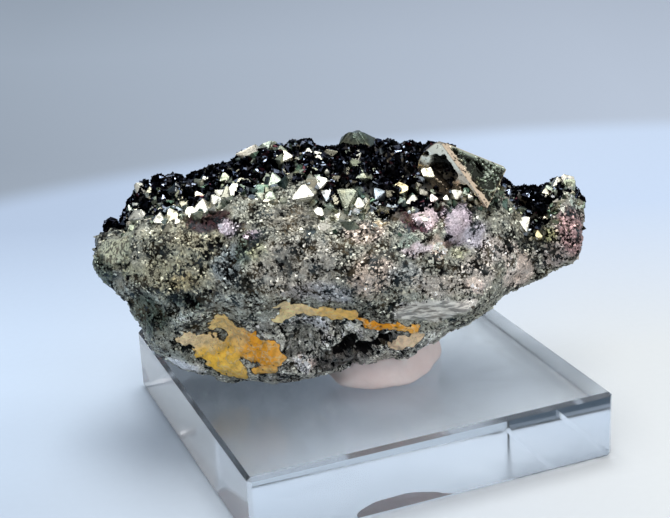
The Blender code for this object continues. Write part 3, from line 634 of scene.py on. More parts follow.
def fields(points, along, around):
    """What the surface is like at each point: its colour, and how far it is druse, earth, under the rim,
    striated, feathery, smooth, pitted or glittering. Patch edges are broken up by noise that moves the
    point they are read at."""
    warp = np.stack([rough_noise(points, 2.6, 40 + axis) for axis in range(3)], axis=-1) * 0.6
    ragged = 0.6 * warp + 0.45 * warp_of(points, 0.9, 46) + 0.25 * warp_of(points, 0.45, 49)
    seen = points + warp + 0.3 * warp_of(points, 0.8, 43)
    signed = front_corner(around)
    edge = rough_noise(points, 3.0, 51) * 0.16
    limit = line_at(DRUSE_FRONT, along)
    druse = smooth_step(-0.08, 0.08, limit - signed + edge)
    druse = druse * smooth_step(-0.2, 0.2, signed - DRUSE_BACK + edge * 2)
    under = smooth_step(2.95, 3.1, signed + edge * 0.4) * smooth_step(-17.0, -13.0, along) \
        * (1.0 - smooth_step(10.0, 14.0, along))
    below = smooth_step(3.6, 4.1, np.abs(signed)) * smooth_step(-28.0, -25.0, along)
    under = np.maximum(under, below * smooth_step(-16.0, -12.0, -along))
    colour = np.empty(points.shape)
    colour[:] = WALL_COLOUR
    colour += (np.array(UNDER_COLOUR) - colour) * under[..., None]
    for _, *place, patch, strength in PATCHES:
        near = spot(seen, *place)
        low, high = (0.28, 0.40) if strength == 1.0 else (0.15, 0.60)
        share = strength * smooth_step(low, high, near)
        colour += (np.array(patch) - colour) * share[..., None]
    earth = np.zeros(along.shape)
    weight = np.full(along.shape, 1e-6)
    earth_colour = np.zeros(points.shape) + 1e-6 * np.array(EARTH_COLOUR)
    for *place, ochre in EARTH:
        near = spot(points + ragged, *place)
        earth = earth + (1.0 - earth) * near
        earth_colour += (near * near)[..., None] * np.array(ochre)
        weight += near * near
    earth_colour /= weight[..., None]
    smooth = np.zeros(along.shape)
    for *place, sharp in SMOOTH_FACES:
        smooth = np.maximum(smooth, smooth_step(0.45 - sharp, 0.45 + sharp, spot(seen, *place)))
    striated = smooth_step(0.35, 0.55, spot(points, *STRIATED_FACE))
    feathery = smooth_step(0.35, 0.55, spot(points + 0.5 * warp, *FEATHERY_FACE))
    plain = (1.0 - 0.9 * smooth) * (1.0 - striated) * (1.0 - feathery)
    pits = zone_value(seen, "pits", 0.55) * plain * (1.0 - 0.8 * under) - 0.7 * smooth
    glitter = zone_value(seen, "glitter", 0.16) * plain
    return {"colour": colour, "earth": earth, "earth_colour": earth_colour, "druse": druse, "under": under,
            "striated": striated, "feathery": feathery, "smooth": smooth, "pits": pits, "glitter": glitter}


def dome(distance, radius):
    """The height of a round lump, as a share of its radius, at a distance from its middle: the top of a
    sphere."""
    return np.sqrt(np.clip(1.0 - (distance / radius) ** 2, 0.0, 1.0))


def crust_height(points, field):
    """How far the fine surface stands out from the skin: soft waves and pits on the wall, plates and
    grape-like lumps under the rim, round clumps under the druse, soft lumps on the earth, fine parallel
    steps on the striated face, and the named hollows. Lumps are domes round jittered seeds. Also sets how
    far the surface is gaps between grains and creases between lumps, where shade is painted in, and the
    lumps' tone under the rim: random from lump to lump, and painted lighter on their tops and darker at
    their edges as light and shade."""
    bare = 1.0 - field["druse"]
    wall = 0.06 * rough_noise(points, 0.8, 61) + 0.16 * rough_noise(points, 2.8, 64) - 0.10
    depth = smooth_step(0.80, 1.15, rough_noise(points, 1.2, 55, 3) + 0.30 * field["pits"])
    wall -= 0.30 * depth * (1.0 - field["smooth"])
    # The wall's pits: painted dark as shade, and kept free of loose grains
    field["gaps"] = depth * (1.0 - field["under"])
    near, second, value = nearest_seeds(points + 0.5 * warp_of(points, 1.5, 70), 1.9, 71)
    grapes = 0.34 * dome(near, 0.85) + 0.22 * value - 0.40
    small, small_second, _ = nearest_seeds(points + 0.2 * warp_of(points, 0.7, 73), 0.85, 75)
    grapes += 0.16 * dome(small, 0.8) + 0.05 * rough_noise(points, 0.5, 79)
    # Creases between the lumps under the rim: painted shade
    crease = 0.6 * smooth_step(0.16, 0.02, small_second - small)
    field["crease"] = np.maximum(smooth_step(0.14, 0.02, second - near), crease) * field["under"]
    # A tone for each lump under the rim, random from lump to lump, and painted lighter on the tops of the
    # small lumps and darker at their edges as light and shade
    field["tops"] = 1.0 + (0.55 * value + 0.8 * (0.60 - small)) * field["under"]
    near, _, _ = nearest_seeds(points + 0.3 * warp_of(points, 1.3, 81), 2.3, 83)
    clumps = 1.35 * dome(near, 0.70) - 0.95 + 0.10 * rough_noise(points, 0.8, 86)
    height = wall + (grapes - wall) * field["under"]
    height += (clumps - height) * field["druse"]
    tilt = points[..., 2] + 0.16 * points[..., 0] + 0.10 * rough_noise(points, 2.5, 89)
    steps = 0.09 * np.abs((tilt / 0.52) % 1.0 - 0.5) + 0.05 * np.abs((tilt / 0.21) % 1.0 - 0.5)
    height += (steps - 0.08 - height) * field["striated"]
    soft = 0.02 + 0.14 * rough_noise(points, 1.2, 92) + 0.06 * rough_noise(points, 0.4, 95)
    height += (soft - height) * smooth_step(0.42, 0.56, field["earth"]) * bare
    height += (0.06 * rough_noise(points, 1.2, 98) - 0.04 - height) * field["smooth"] * bare
    moved = points + 0.35 * warp_of(points, 1.1, 101)
    for at, corner, radius, depth in HOLLOWS:
        height -= depth * smooth_step(0.3, 0.85, spot(moved, at, corner, radius, radius))
    return height


def to_row(points):
    """Specimen millimetres to the row's frame in metres: a turn about the vertical axis, and the scale."""
    cos, sin = math.cos(SPECIMEN_TURN), math.sin(SPECIMEN_TURN)
    x, y, z = np.moveaxis(points, -1, 0)
    return np.stack([x * cos - y * sin, x * sin + y * cos, z], axis=-1) * MM


def make_piece(name, points, triangles, slot, material, layers, smooth=False, node=None):
    """A mesh object from whole arrays: points in the specimen's millimetres, triangles of point numbers,
    and named layers of up to four numbers for each point. It rides on the one body, and no point leaves the
    box of the solids."""
    low, high = np.array(CAD_BOX[0]), np.array(CAD_BOX[1])
    points = np.clip(to_row(points), low + BOX_MARGIN, high - BOX_MARGIN)
    data = bpy.data.meshes.new(name)
    data.vertices.add(len(points))
    data.vertices.foreach_set("co", np.ascontiguousarray(points, dtype=np.float32).ravel())
    data.loops.add(triangles.size)
    data.loops.foreach_set("vertex_index", np.ascontiguousarray(triangles, dtype=np.int32).ravel())
    data.polygons.add(len(triangles))
    data.polygons.foreach_set("loop_start", np.arange(0, triangles.size, 3, dtype=np.int32))
    data.update(calc_edges=True)
    data.validate()
    data.polygons.foreach_set("use_smooth", np.full(len(data.polygons), smooth))
    for label, values in layers.items():
        rgba = np.ones((len(points), 4), dtype=np.float32)
        rgba[:, :values.shape[-1]] = values
        layer = data.attributes.new(label, "FLOAT_COLOR", "POINT")
        layer.data.foreach_set("color", rgba.ravel())
    data.materials.append(material)
    piece = bpy.data.objects.new(name, data)
    bpy.context.scene.collection.objects.link(piece)
    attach(piece, "root")
    if node:
        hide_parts(node)


def grid_triangles(stations, around):
    """Triangles of a tube of points, closed around, with its two ends left for poles."""
    first = np.arange(stations - 1)[:, None] * around
    here = np.arange(around)[None, :]
    after = (here + 1) % around
    a, b = first + here, first + after
    c, d = b + around, a + around
    return np.concatenate([np.stack([a, b, c], -1).reshape(-1, 3), np.stack([a, c, d], -1).reshape(-1, 3)])


def with_poles(values):
    """The values of a tube's points in one row, and after them the averages of its first and last rings."""
    flat = values.reshape(-1, values.shape[-1])
    return np.concatenate([flat, values[0].mean(axis=0)[None], values[-1].mean(axis=0)[None]])


def closed_tube(rings):
    """Points and triangles of a tube from its rings, closed with a pole at each end, faces pointing
    outwards where the rings run anticlockwise seen from the first pole's far side."""
    stations, around = rings.shape[:2]
    points = with_poles(rings)
    here = np.arange(around)
    after = (here + 1) % around
    first_pole, last_pole = len(points) - 2, len(points) - 1
    start = np.stack([after, here, np.full(around, first_pole)], -1)
    last = (stations - 1) * around
    end = np.stack([here + last, after + last, np.full(around, last_pole)], -1)
    return points, np.concatenate([grid_triangles(stations, around), start, end])


def crust_grid():
    """The distances along and around of the crust's points. Points are shared out round the section by the
    numbers wanted at each corner, and the stations crowd a little towards the two ends."""
    table = np.array(POINTS_PER_CORNER, dtype=float)
    fine = np.linspace(0.0, 8.0, 801)
    density = np.interp(fine, table[:, 0], table[:, 1])
    total = np.concatenate([[0.0], np.cumsum((density[1:] + density[:-1]) / 2)])
    around = np.interp(np.arange(CRUST_AROUND) / CRUST_AROUND * total[-1], total, fine)
    share = (np.arange(CRUST_STATIONS) + 0.5) / CRUST_STATIONS
    share = share - 0.035 * np.sin(2 * math.pi * share)
    along = LEFT_END + (RIGHT_END - LEFT_END) * share
    return np.meshgrid(along, around, indexing="ij")


def grid_normals(rings):
    """Unit normals of a tube's points, from the differences to their neighbours."""
    along = np.gradient(rings, axis=0)
    around = np.roll(rings, -1, axis=1) - np.roll(rings, 1, axis=1)
    normal = np.cross(around, along)
    return normal / np.maximum(np.linalg.norm(normal, axis=-1, keepdims=True), 1e-12)


def cell_areas(rings):
    """The area that each point of a tube stands for."""
    along = np.gradient(rings, axis=0)
    around = (np.roll(rings, -1, axis=1) - np.roll(rings, 1, axis=1)) / 2
    return np.linalg.norm(np.cross(around, along), axis=-1)


class Crust:
    """The specimen's fine surface: its points, normals and fields, on one grid of stations and corners."""

    def __init__(self):
        self.along, self.around = crust_grid()
        base = skin(self.along, self.around)
        self.field = fields(base, self.along, self.around)
        normals = grid_normals(base)
        self.height = crust_height(base, self.field)
        ends = 0.4 * smooth_step(2.5, 0.0, self.along - LEFT_END)
        ends = ends + 0.9 * smooth_step(3.0, 0.0, RIGHT_END - self.along)
        self.points = base + normals * (self.height - ends)[..., None]
        self.points[..., 2] = np.maximum(self.points[..., 2], BLOCK_TOP + 0.15)
        fine = normals + 0.8 * grid_normals(self.points)
        self.normals = fine / np.linalg.norm(fine, axis=-1, keepdims=True)
        self.areas = cell_areas(base)


def scatter(crust, count, weight, seed):
    """Random places on the crust, as likely as the area they stand for times a weight: flat grid numbers,
    the places themselves, and the random numbers to go on with."""
    random = np.random.default_rng(seed)
    chance = (crust.areas * weight).ravel()
    chosen = random.choice(chance.size, size=count, p=chance / chance.sum())
    stations, around = crust.areas.shape
    row, column = np.divmod(chosen, around)
    ahead = np.minimum(row + 1, stations - 1)
    beside = (column + 1) % around
    here = crust.points[row, column]
    places = here + random.random((count, 1)) * (crust.points[ahead, column] - here)
    places = places + random.random((count, 1)) * (crust.points[row, beside] - here)
    return chosen, places, random


def turns_facing(direction, roll):
    """Rotation matrices that bring an octahedron's first face, which looks along (1, 1, 1), to look in a
    direction, turned about it by the roll in radians."""
    look = direction / np.linalg.norm(direction, axis=-1, keepdims=True)
    side = np.cross(look, np.broadcast_to((0.3, 0.1, 0.95), look.shape))
    side = side / np.linalg.norm(side, axis=-1, keepdims=True)
    up = np.cross(look, side)
    cos, sin = np.cos(roll)[..., None], np.sin(roll)[..., None]
    new_side = side * cos + up * sin
    new_up = up * cos - side * sin
    target = np.stack([new_side, new_up, look], axis=-1)
    face = np.ones(3) / math.sqrt(3)
    first = np.array((1.0, -1.0, 0.0)) / math.sqrt(2)
    source = np.stack([first, np.cross(face, first), face], axis=-1)
    return target @ source.T


# A plain octahedron: its corners, and the sides of the middle on which each face lies
OCTAHEDRON_CORNERS = np.concatenate([np.eye(3), -np.eye(3)])
FACE_SIGNS = (
    (1, 1, 1), (-1, 1, 1), (1, -1, 1), (1, 1, -1), (-1, -1, 1), (-1, 1, -1), (1, -1, -1), (-1, -1, -1),
)


def octahedron_faces():
    """The eight faces as corner numbers, anticlockwise from outside, the one that looks along (1, 1, 1)
    first."""
    faces = []
    for signs in FACE_SIGNS:
        face = [axis if sign > 0 else axis + 3 for axis, sign in enumerate(signs)]
        faces.append(face if np.prod(signs) > 0 else face[::-1])
    return np.array(faces)


def malformed_octahedron(random, spread):
    """An octahedron whose eight faces lie at unequal distances, as grown ones do: its corners are the
    points where three face planes meet inside all the others. Gives the corners, and each face as corner
    numbers, anticlockwise from outside. The first face looks along (1, 1, 1) and is the broadest."""
    normals = np.array(FACE_SIGNS) / math.sqrt(3)
    distance = (1.0 + random.uniform(-spread, spread, len(normals))) / math.sqrt(3)
    distance[0] *= BROAD_FACE_DISTANCE
    corners = []
    for a in range(len(normals)):
        for b in range(a):
            for c in range(b):
                three = normals[[a, b, c]]
                if abs(np.linalg.det(three)) < 1e-6:
                    continue
                point = np.linalg.solve(three, distance[[a, b, c]])
                outside = (normals @ point > distance + 1e-9).any()
                if not outside and not any(np.allclose(point, old) for old in corners):
                    corners.append(point)
    corners = np.array(corners)
    faces = []
    for normal, reach in zip(normals, distance):
        on = np.flatnonzero(np.abs(corners @ normal - reach) < 1e-6)
        if len(on) < 3:
            continue
        middle = corners[on].mean(axis=0)
        side = corners[on[0]] - middle
        up = np.cross(normal, side)
        angle = np.arctan2((corners[on] - middle) @ up, (corners[on] - middle) @ side)
        faces.append(on[np.argsort(angle)])
    return corners, faces


def stepped_crystal(corners, faces, rings, random):
    """One closed crystal whose faces carry nested copies of their own outline. rings is a list of (inset,
    height) shares, and the innermost outline is closed by a fan. The outlines close in on a point away from
    the middle. Gives the points, triangles, and each point's inset and tone."""
    points = [corners]
    triangles = []
    inset_of = [np.zeros(len(corners))]
    tone_of = [np.ones(len(corners))]
    count = len(corners)
    for face in faces:
        outline = corners[face]
        normal = np.cross(outline[1] - outline[0], outline[2] - outline[0])
        normal = normal / np.linalg.norm(normal)
        share = random.dirichlet(np.full(len(face), 5.0))
        target = share @ outline
        before = np.array(face)
        tone = random.uniform(0.8, 1.15)
        for inset, height in rings:
            ring = outline + (target - outline) * inset + normal * height
            here = count + np.arange(len(face))
            points.append(ring)
            inset_of.append(np.full(len(face), inset))
            tone_of.append(np.full(len(face), tone))
            after, here_after = np.roll(before, -1), np.roll(here, -1)
            triangles.append(np.stack([before, after, here_after], -1))
            triangles.append(np.stack([before, here_after, here], -1))
            before = here
            count += len(face)
        fan = before[1:-1], before[2:]
        triangles.append(np.stack([np.full(len(face) - 2, before[0]), *fan], -1))
    return tuple(np.concatenate(array) for array in (points, triangles, inset_of, tone_of))


def make_crystals(name, material, centres, radii, turns, stretches, rings, random, tints, spread):
    """A piece of many malformed crystals, with marks that are the inset and a value of each crystal's
    own."""
    arrays = []
    count = 0
    for centre, radius, turn, stretch, tint in zip(centres, radii, turns, stretches, tints):
        corners, faces = malformed_octahedron(random, spread)
        shape, triangles, inset, tone = stepped_crystal(corners, faces, rings, random)
        marks = np.stack([inset, np.full(len(inset), random.random()), np.zeros(len(inset))], -1)
        points = (shape * stretch) @ turn.T * radius + centre
        arrays.append((points, triangles + count, tint * tone[:, None], marks))
        count += len(shape)
    points, triangles, colours, marks = (np.concatenate(array) for array in zip(*arrays))
    make_piece(name, points, triangles, "pyrite", material, {"tint": colours, "marks": marks})


def plain_octahedra(centres, radii, turns, stretch, colours):
    """Points, triangles and colours of many small octahedra, six points and eight faces each."""
    count = len(centres)
    points = OCTAHEDRON_CORNERS[None] * stretch[:, None]
    points = np.einsum("nij,npj->npi", turns, points) * radii[:, None, None] + centres[:, None]
    triangles = octahedron_faces()[None] + (np.arange(count) * 6)[:, None, None]
    return points.reshape(-1, 3), triangles.reshape(-1, 3), np.repeat(colours, 6, axis=0)


def join(socket, value):
    """Links an input to a node's output, or sets it to a plain number, vector or colour."""
    if isinstance(value, Value):
        socket.id_data.links.new(value.socket, socket)
    else:
        socket.default_value = value


def node_value(tree, kind, inputs, out=0, **settings):
    """Adds a node, sets its properties and inputs, and gives one of its outputs."""
    node = tree.nodes.new("ShaderNode" + kind)
    for key, value in settings.items():
        setattr(node, key, value)
    for key, value in inputs.items():
        join(node.inputs[key], value)
    return Value(node.outputs[out])


class Value:
    """A node's output. Sums, differences and products of it add the nodes that work them out."""

    def __init__(self, socket):
        self.socket = socket

    def maths(self, operation, a, b=0.0):
        return node_value(self.socket.id_data, "Math", {0: a, 1: b}, operation=operation)

    def __add__(self, other):
        return self.maths("ADD", self, other)

    def __sub__(self, other):
        return self.maths("SUBTRACT", self, other)

    def __rsub__(self, other):
        return self.maths("SUBTRACT", other, self)

    def __mul__(self, other):
        return self.maths("MULTIPLY", self, other)

    def __abs__(self):
        return self.maths("ABSOLUTE", self)

    __radd__, __rmul__ = __add__, __mul__

    def most(self, other):
        return self.maths("MAXIMUM", self, other)

    def over(self, limit):
        return self.maths("GREATER_THAN", self, limit)

    def under(self, limit):
        return self.maths("LESS_THAN", self, limit)

    def clamped(self):
        self.socket.node.use_clamp = True
        return self

    def scaled(self, factor):
        """A colour or vector times a number."""
        return node_value(self.socket.id_data, "VectorMath", {0: self, "Scale": factor}, operation="SCALE")

    def beside(self, out):
        """Another output of the same node."""
        return Value(self.socket.node.outputs[out])

    def parts(self, kind="SeparateColor"):
        first = node_value(self.socket.id_data, kind, {0: self})
        return first, first.beside(1), first.beside(2)


# For each kind of mix: its two inputs and its output, as socket numbers
MIX_SOCKETS = {"FLOAT": (2, 3, 0), "VECTOR": (4, 5, 1), "RGBA": (6, 7, 2)}

# The kind of a group's socket, by how many numbers it holds
GROUP_SOCKETS = {1: "NodeSocketFloat", 3: "NodeSocketVector", 4: "NodeSocketColor"}


class Pattern:
    """One node tree, with short ways to add the nodes that its patterns are made of."""

    def __init__(self, tree):
        self.tree = tree
        self.where = self.new("TexCoord", {}, "Object")

    def new(self, kind, inputs, out=0, **settings):
        return node_value(self.tree, kind, inputs, out, **settings)

    def noise(self, scale, detail, roughness=0.5, distortion=0.0, at=None, out=0):
        inputs = {"Vector": at or self.where, "Scale": scale, "Detail": detail}
        return self.new("TexNoise", {**inputs, "Roughness": roughness, "Distortion": distortion}, out)

    def cells(self, scale, at=None):
        """Cells round jittered seeds: three numbers of each cell's own, as a colour."""
        return self.new("TexVoronoi", {"Vector": at or self.where, "Scale": scale}, "Color")

    def ramp(self, value, low, high, start=0.0, end=1.0, soft=False):
        """From start to end while a value goes from low to high."""
        inputs = {"Value": value, "From Min": low, "From Max": high, "To Min": start, "To Max": end}
        return self.new("MapRange", inputs, interpolation_type="SMOOTHSTEP" if soft else "LINEAR")

    def mix(self, share, a, b, kind="FLOAT"):
        first, second, out = MIX_SOCKETS[kind]
        return self.new("Mix", {0: share, first: a, second: b}, out, data_type=kind)

    def blend(self, share, a, b):
        """From one colour to another."""
        return self.mix(share, a, b, "RGBA")

    def vector(self, operation, a, b=(0.0, 0.0, 0.0), out=0):
        return self.new("VectorMath", {0: a, 1: b}, out, operation=operation)

    def attribute(self, name):
        return self.new("Attribute", {}, "Color", attribute_name=name)

    def normal(self):
        return self.new("NewGeometry", {}, "Normal")

    def bump(self, height, strength, **others):
        return self.new("Bump", {"Height": height, "Strength": strength, "Distance": 1.0, **others})

    def use(self, group, **inputs):
        """The outputs of a shared effect."""
        node = self.tree.nodes.new("ShaderNodeGroup")
        node.node_tree = bpy.data.node_groups[group]
        for label, value in inputs.items():
            join(node.inputs[label.replace("_", " ")], value)
        return [Value(socket) for socket in node.outputs]


class Effect(Pattern):
    """A shared effect: a node group with named inputs and outputs."""

    def __init__(self, name, inputs, outputs):
        tree = bpy.data.node_groups.new(name, "ShaderNodeTree")
        for label, value in inputs.items():
            kind = GROUP_SOCKETS[np.size(value)]
            tree.interface.new_socket(name=label, in_out="INPUT", socket_type=kind).default_value = value
        for label, size in outputs.items():
            tree.interface.new_socket(name=label, in_out="OUTPUT", socket_type=GROUP_SOCKETS[size])
        super().__init__(tree)
        node = tree.nodes.new("NodeGroupInput")
        self.given = [Value(node.outputs[label]) for label in inputs]

    def put_out(self, *values):
        for socket, value in zip(self.tree.nodes.new("NodeGroupOutput").inputs, values):
            join(socket, value)


class Finish(Pattern):
    """A material: its pattern, and its one shader."""

    def __init__(self, name):
        self.material = bpy.data.materials.new(name)
        self.material.use_nodes = True
        super().__init__(self.material.node_tree)

    def shade(self, **inputs):
        """The material, with its shader's inputs set or linked."""
        for label, value in inputs.items():
            join(self.tree.nodes["Principled BSDF"].inputs[label.replace("_", " ")], value)
        return self.material


def facets_effect():
    """Tiny flat crystal faces: each cell of a pattern on the object tilts the normal its own way, and gives
    its own value from 0 to 1."""
    effect = Effect("tiny facets", {"Cells per metre": 2500.0, "Tilt": 0.8}, {"Normal": 3, "Value": 1})
    density, tilt = effect.given
    cells = effect.cells(density)
    tilted = effect.vector("SUBTRACT", cells, (0.5, 0.5, 0.5)).scaled(tilt)
    normal = effect.vector("NORMALIZE", effect.vector("ADD", effect.normal(), tilted))
    effect.put_out(normal, cells.parts()[1])


def grain_and_pit_shade_effect():
    """The tone of a grainy metal surface: black blotches of two sizes that gather in clusters and thin dark
    curling lines, both sunk by the bump and painted black as shade in pits and cracks, cells of uneven tone
    at two fine sizes, soft mottles and a few bright flecks painted as glints. Gives a factor for the
    colour, a height in metres for a bump, and how black the surface is with painted shade."""
    effect = Effect("grain and pit shade", {"Pits": 0.5, "Lines": 0.7, "Flecks": 0.1},
                    {"Factor": 1, "Height": 1, "Black": 1})
    pitted, lined, flecked = effect.given
    wobble = effect.vector("SUBTRACT", effect.noise(2600.0, 2.0, out="Color"), (0.5, 0.5, 0.5))
    moved = effect.vector("ADD", effect.where, wobble.scaled(0.0005))
    gather = effect.noise(420.0, 2.0)
    amount = pitted + effect.ramp(gather, 0.35, 0.65, -0.8, 0.9)
    pits = []
    for scale, level in ((1250.0, 0.618), (2900.0, 0.628)):
        blots = effect.noise(scale, 3.0, 0.62, at=moved)
        pits.append(effect.ramp(blots - (level - amount * 0.10), 0.0, 0.012, soft=True))
    lines = []
    for scale, width in ((1150.0, 0.034), (2300.0, 0.046)):
        away = abs(effect.noise(scale, 2.0, 0.6, at=moved) - 0.5)
        lines.append(effect.ramp(away, 0.008, width, 1.0, 0.0))
    line = lines[0].most(lines[1]) * effect.ramp(gather, 0.38, 0.55, 0.35, 1.0) * lined
    coarse, coarse_luck, _ = effect.cells(3300.0, at=moved).parts()
    fine = effect.cells(6200.0, at=moved).parts()[0]
    soft = effect.ramp(effect.noise(900.0, 4.0, 0.65), 0.3, 0.7, 0.78, 1.25)
    tone = effect.ramp(coarse, 0.0, 1.0, 0.75, 1.25) * effect.ramp(fine, 0.0, 1.0, 0.62, 1.38) * soft
    # Bright flecks: painted glints
    glint_fleck = coarse_luck.over(1.0 - flecked * 0.3)
    # Painted shade: the blotches and lines, sunk by the bump, are painted black
    black = pits[0].most(pits[1]).most(line * 0.95) * (1.0 - glint_fleck * 0.8)
    factor = tone * (1.0 - black * 0.98) * (1.0 + glint_fleck * 1.1)
    effect.put_out(factor, black * -0.00011 + soft * 0.00006, black)


def strokes_effect():
    """Fine strokes along a direction: noise on the object's coordinates squeezed by three shares."""
    inputs = {"Squeeze": (0.2, 0.2, 1.0), "Strokes per metre": 2600.0, "Dark": 0.5, "Bright": 1.3}
    effect = Effect("strokes", inputs, {"Factor": 1})
    squeeze, density, dark, bright = effect.given
    noise = effect.noise(density, 2.0, distortion=0.4, at=effect.vector("MULTIPLY", effect.where, squeeze))
    effect.put_out(effect.ramp(noise, 0.42, 0.58, dark, bright, soft=True))


def tarnish_effect():
    """Slow shifts of hue over a metal: a colour turned towards a warm and a cool stain by two soft
    noises."""
    inputs = {"Colour": (0.5, 0.5, 0.5, 1.0), "Warm": (0.44, 0.35, 0.22, 1.0),
              "Cool": (0.22, 0.29, 0.32, 1.0), "Amount": 0.3, "Patches per metre": 500.0}
    effect = Effect("tarnish", inputs, {"Colour": 4})
    colour, warm, cool, amount, density = effect.given
    for at, stain in ((effect.where, warm), (effect.vector("ADD", effect.where, (0.31, 0.17, 0.23)), cool)):
        share = effect.ramp(effect.noise(density, 3.0, at=at), 0.48, 0.66) * amount
        colour = effect.blend(share, colour, stain)
    effect.put_out(colour)


def crust_finish():
    """The wall: tarnished metal with black pits and lines, sunk by the bump and painted black as shade, its
    hollows, pits and creases painted black as shade, a few bright flecks painted as glints, fine strokes on
    its two drawn faces, and matt ochre, its raised parts partly painted lighter, where the earth field is
    high."""
    look = Finish("pyrite crust")
    earth, dark, stripes = look.attribute("marks").parts()
    grade = look.attribute("grade")
    pitted, lined, feathery = grade.parts()
    glitter = grade.beside("Alpha")
    # Painted glints: more bright flecks where the wall glitters
    glint_flecks = 0.06 + glitter * 0.30
    tone, relief, black = look.use("grain and pit shade", Pits=pitted, Lines=lined, Flecks=glint_flecks)
    across, = look.use("strokes", Squeeze=(0.2, 0.2, 1.0), Strokes_per_metre=3400.0, Dark=0.40, Bright=1.12)
    upward, = look.use("strokes", Squeeze=(1.0, 1.0, 0.6), Strokes_per_metre=3300.0, Dark=0.22, Bright=1.45)
    tone = look.mix(feathery, look.mix(stripes, tone, across), upward)
    metal = look.attribute("tint").scaled(tone)
    metal, = look.use("tarnish", Colour=metal, Amount=0.18, Patches_per_metre=480.0)
    fray = look.noise(1500.0, 4.0) - 0.5
    # Painted shade: where the dark mark is high, in hollows, pits and creases, the metal turns black
    sunk = look.ramp(dark + fray * 1.6, 0.42, 0.58, 0.0, 0.98, soft=True)
    frayed = earth + fray * 0.5
    earthy = look.ramp(frayed, 0.44, 0.49, soft=True)
    rim = look.ramp(frayed, 0.34, 0.44, 1.0, 0.15, soft=True)
    metal = look.blend(sunk, metal, HOLLOW_SHADE_BLACK).scaled(rim)
    # The ochre's cream ridges and brighter mottles are also what the bump raises: partly the earth's own
    # paler crust, partly painted light on what stands up, with its low parts painted darker as shade
    mottle = look.noise(1100.0, 5.0, 0.6)
    chips = look.ramp(look.noise(1700.0, 3.0), 0.27, 0.36, 0.25, 1.0, soft=True)
    ridged = look.ramp(abs(look.noise(620.0, 4.0, 0.6) - 0.5), 0.0, 0.05, 0.55, 0.0, soft=True)
    ochre = look.blend(ridged, look.attribute("earth"), PALE_AND_LIT_OCHRE_RIDGE)
    ochre = ochre.scaled(look.ramp(mottle, 0.35, 0.65, 0.72, 1.25) * chips)
    plain = (1.0 - stripes.most(feathery)).clamped()
    metallic = (0.45 + (black * plain).most(sunk) * 0.55).clamped() * (1.0 - earthy)
    facet, own = look.use("tiny facets", Cells_per_metre=3000.0, Tilt=0.12 + glitter * 0.7)
    rough = (look.ramp(own, 0.0, 1.0, 0.40, 0.6) + earthy * 0.4).clamped()
    rough = (rough - glitter * 0.14).clamped()
    turned = look.mix(earthy, facet, look.normal(), "VECTOR")
    relief = look.mix(earthy, relief, (mottle + ridged) * 0.0005)
    return look.shade(Base_Color=look.blend(earthy, metal, ochre), Metallic=metallic, Roughness=rough,
                      Normal=look.bump(relief, 0.7, Normal=turned))


def grain_finish(name, metallic, low, high, tilt, amount, edge):
    """Small crystals: their own tint, tarnished, with a roughness that varies from cell to cell."""
    look = Finish(name)
    colour, = look.use("tarnish", Colour=look.attribute("tint"), Amount=amount, Patches_per_metre=700.0)
    facet, own = look.use("tiny facets", Cells_per_metre=5200.0, Tilt=tilt)
    return look.shade(Base_Color=colour, Metallic=metallic, Roughness=look.ramp(own, 0.0, 1.0, low, high),
                      Specular_Tint=(edge, edge, edge, 1.0), Normal=facet)


def brass_finish():
    """The larger crystals: bright faces speckled with tarnish, painted dark along their edges as shade, and
    duller in the steps."""
    look = Finish("pale brass faces")
    inset = look.attribute("marks").parts()[0]
    colour, = look.use("tarnish", Colour=look.attribute("tint"), Amount=0.25, Patches_per_metre=380.0)
    stains = look.noise(1700.0, 4.0)
    colour = look.blend(look.ramp(stains, 0.58, 0.64) * 0.6, colour, STAIN_BLACK)
    rough = (look.ramp(stains, 0.35, 0.65, 0.18, 0.36) + inset * 0.1).clamped()
    height = (look.noise(4200.0, 2.0) + stains) * 0.00002
    # Painted shade: the colour falls to a quarter along each face's edge
    return look.shade(Base_Color=colour.scaled(look.ramp(inset, 0.0, 0.06, 0.25, 1.0)), Metallic=1.0,
                      Roughness=rough, Normal=look.bump(height, 0.5))


def skeletal_finish():
    """The skeletal crystal: satin faces in their own tints, with fine dark specks, less metallic at its
    tip, whose paler colour is a painted highlight."""
    look = Finish("skeletal crystal")
    fine = look.noise(2600.0, 3.0)
    specks = look.ramp(fine, 0.34, 0.42, 0.15, 1.0, soft=True)
    tip_highlight = look.attribute("tip_highlight").parts()[0]
    return look.shade(Base_Color=look.attribute("tint").scaled(specks), Metallic=0.95 - tip_highlight * 0.55,
                      Roughness=look.ramp(fine, 0.0, 1.0, 0.14, 0.34), Specular_Tint=(0.4, 0.4, 0.4, 1.0),
                      Normal=look.bump(fine * 0.00004, 0.5))


def putty_finish():
    """Pinkish white putty: matt, a little translucent, with soft dents and faint oil marks."""
    look = Finish("mineral putty")
    soft, fine = look.noise(260.0, 3.0), look.noise(2600.0, 3.0)
    return look.shade(Base_Color=look.blend(soft, PUTTY_DULL, PUTTY_PALE),
                      Roughness=look.ramp(fine, 0.0, 1.0, 0.5, 0.75), Subsurface_Weight=0.25,
                      Subsurface_Radius=(1.0, 0.6, 0.5), Subsurface_Scale=0.0015,
                      Normal=look.bump(soft * 0.0006 + fine * 0.00006, 0.5))


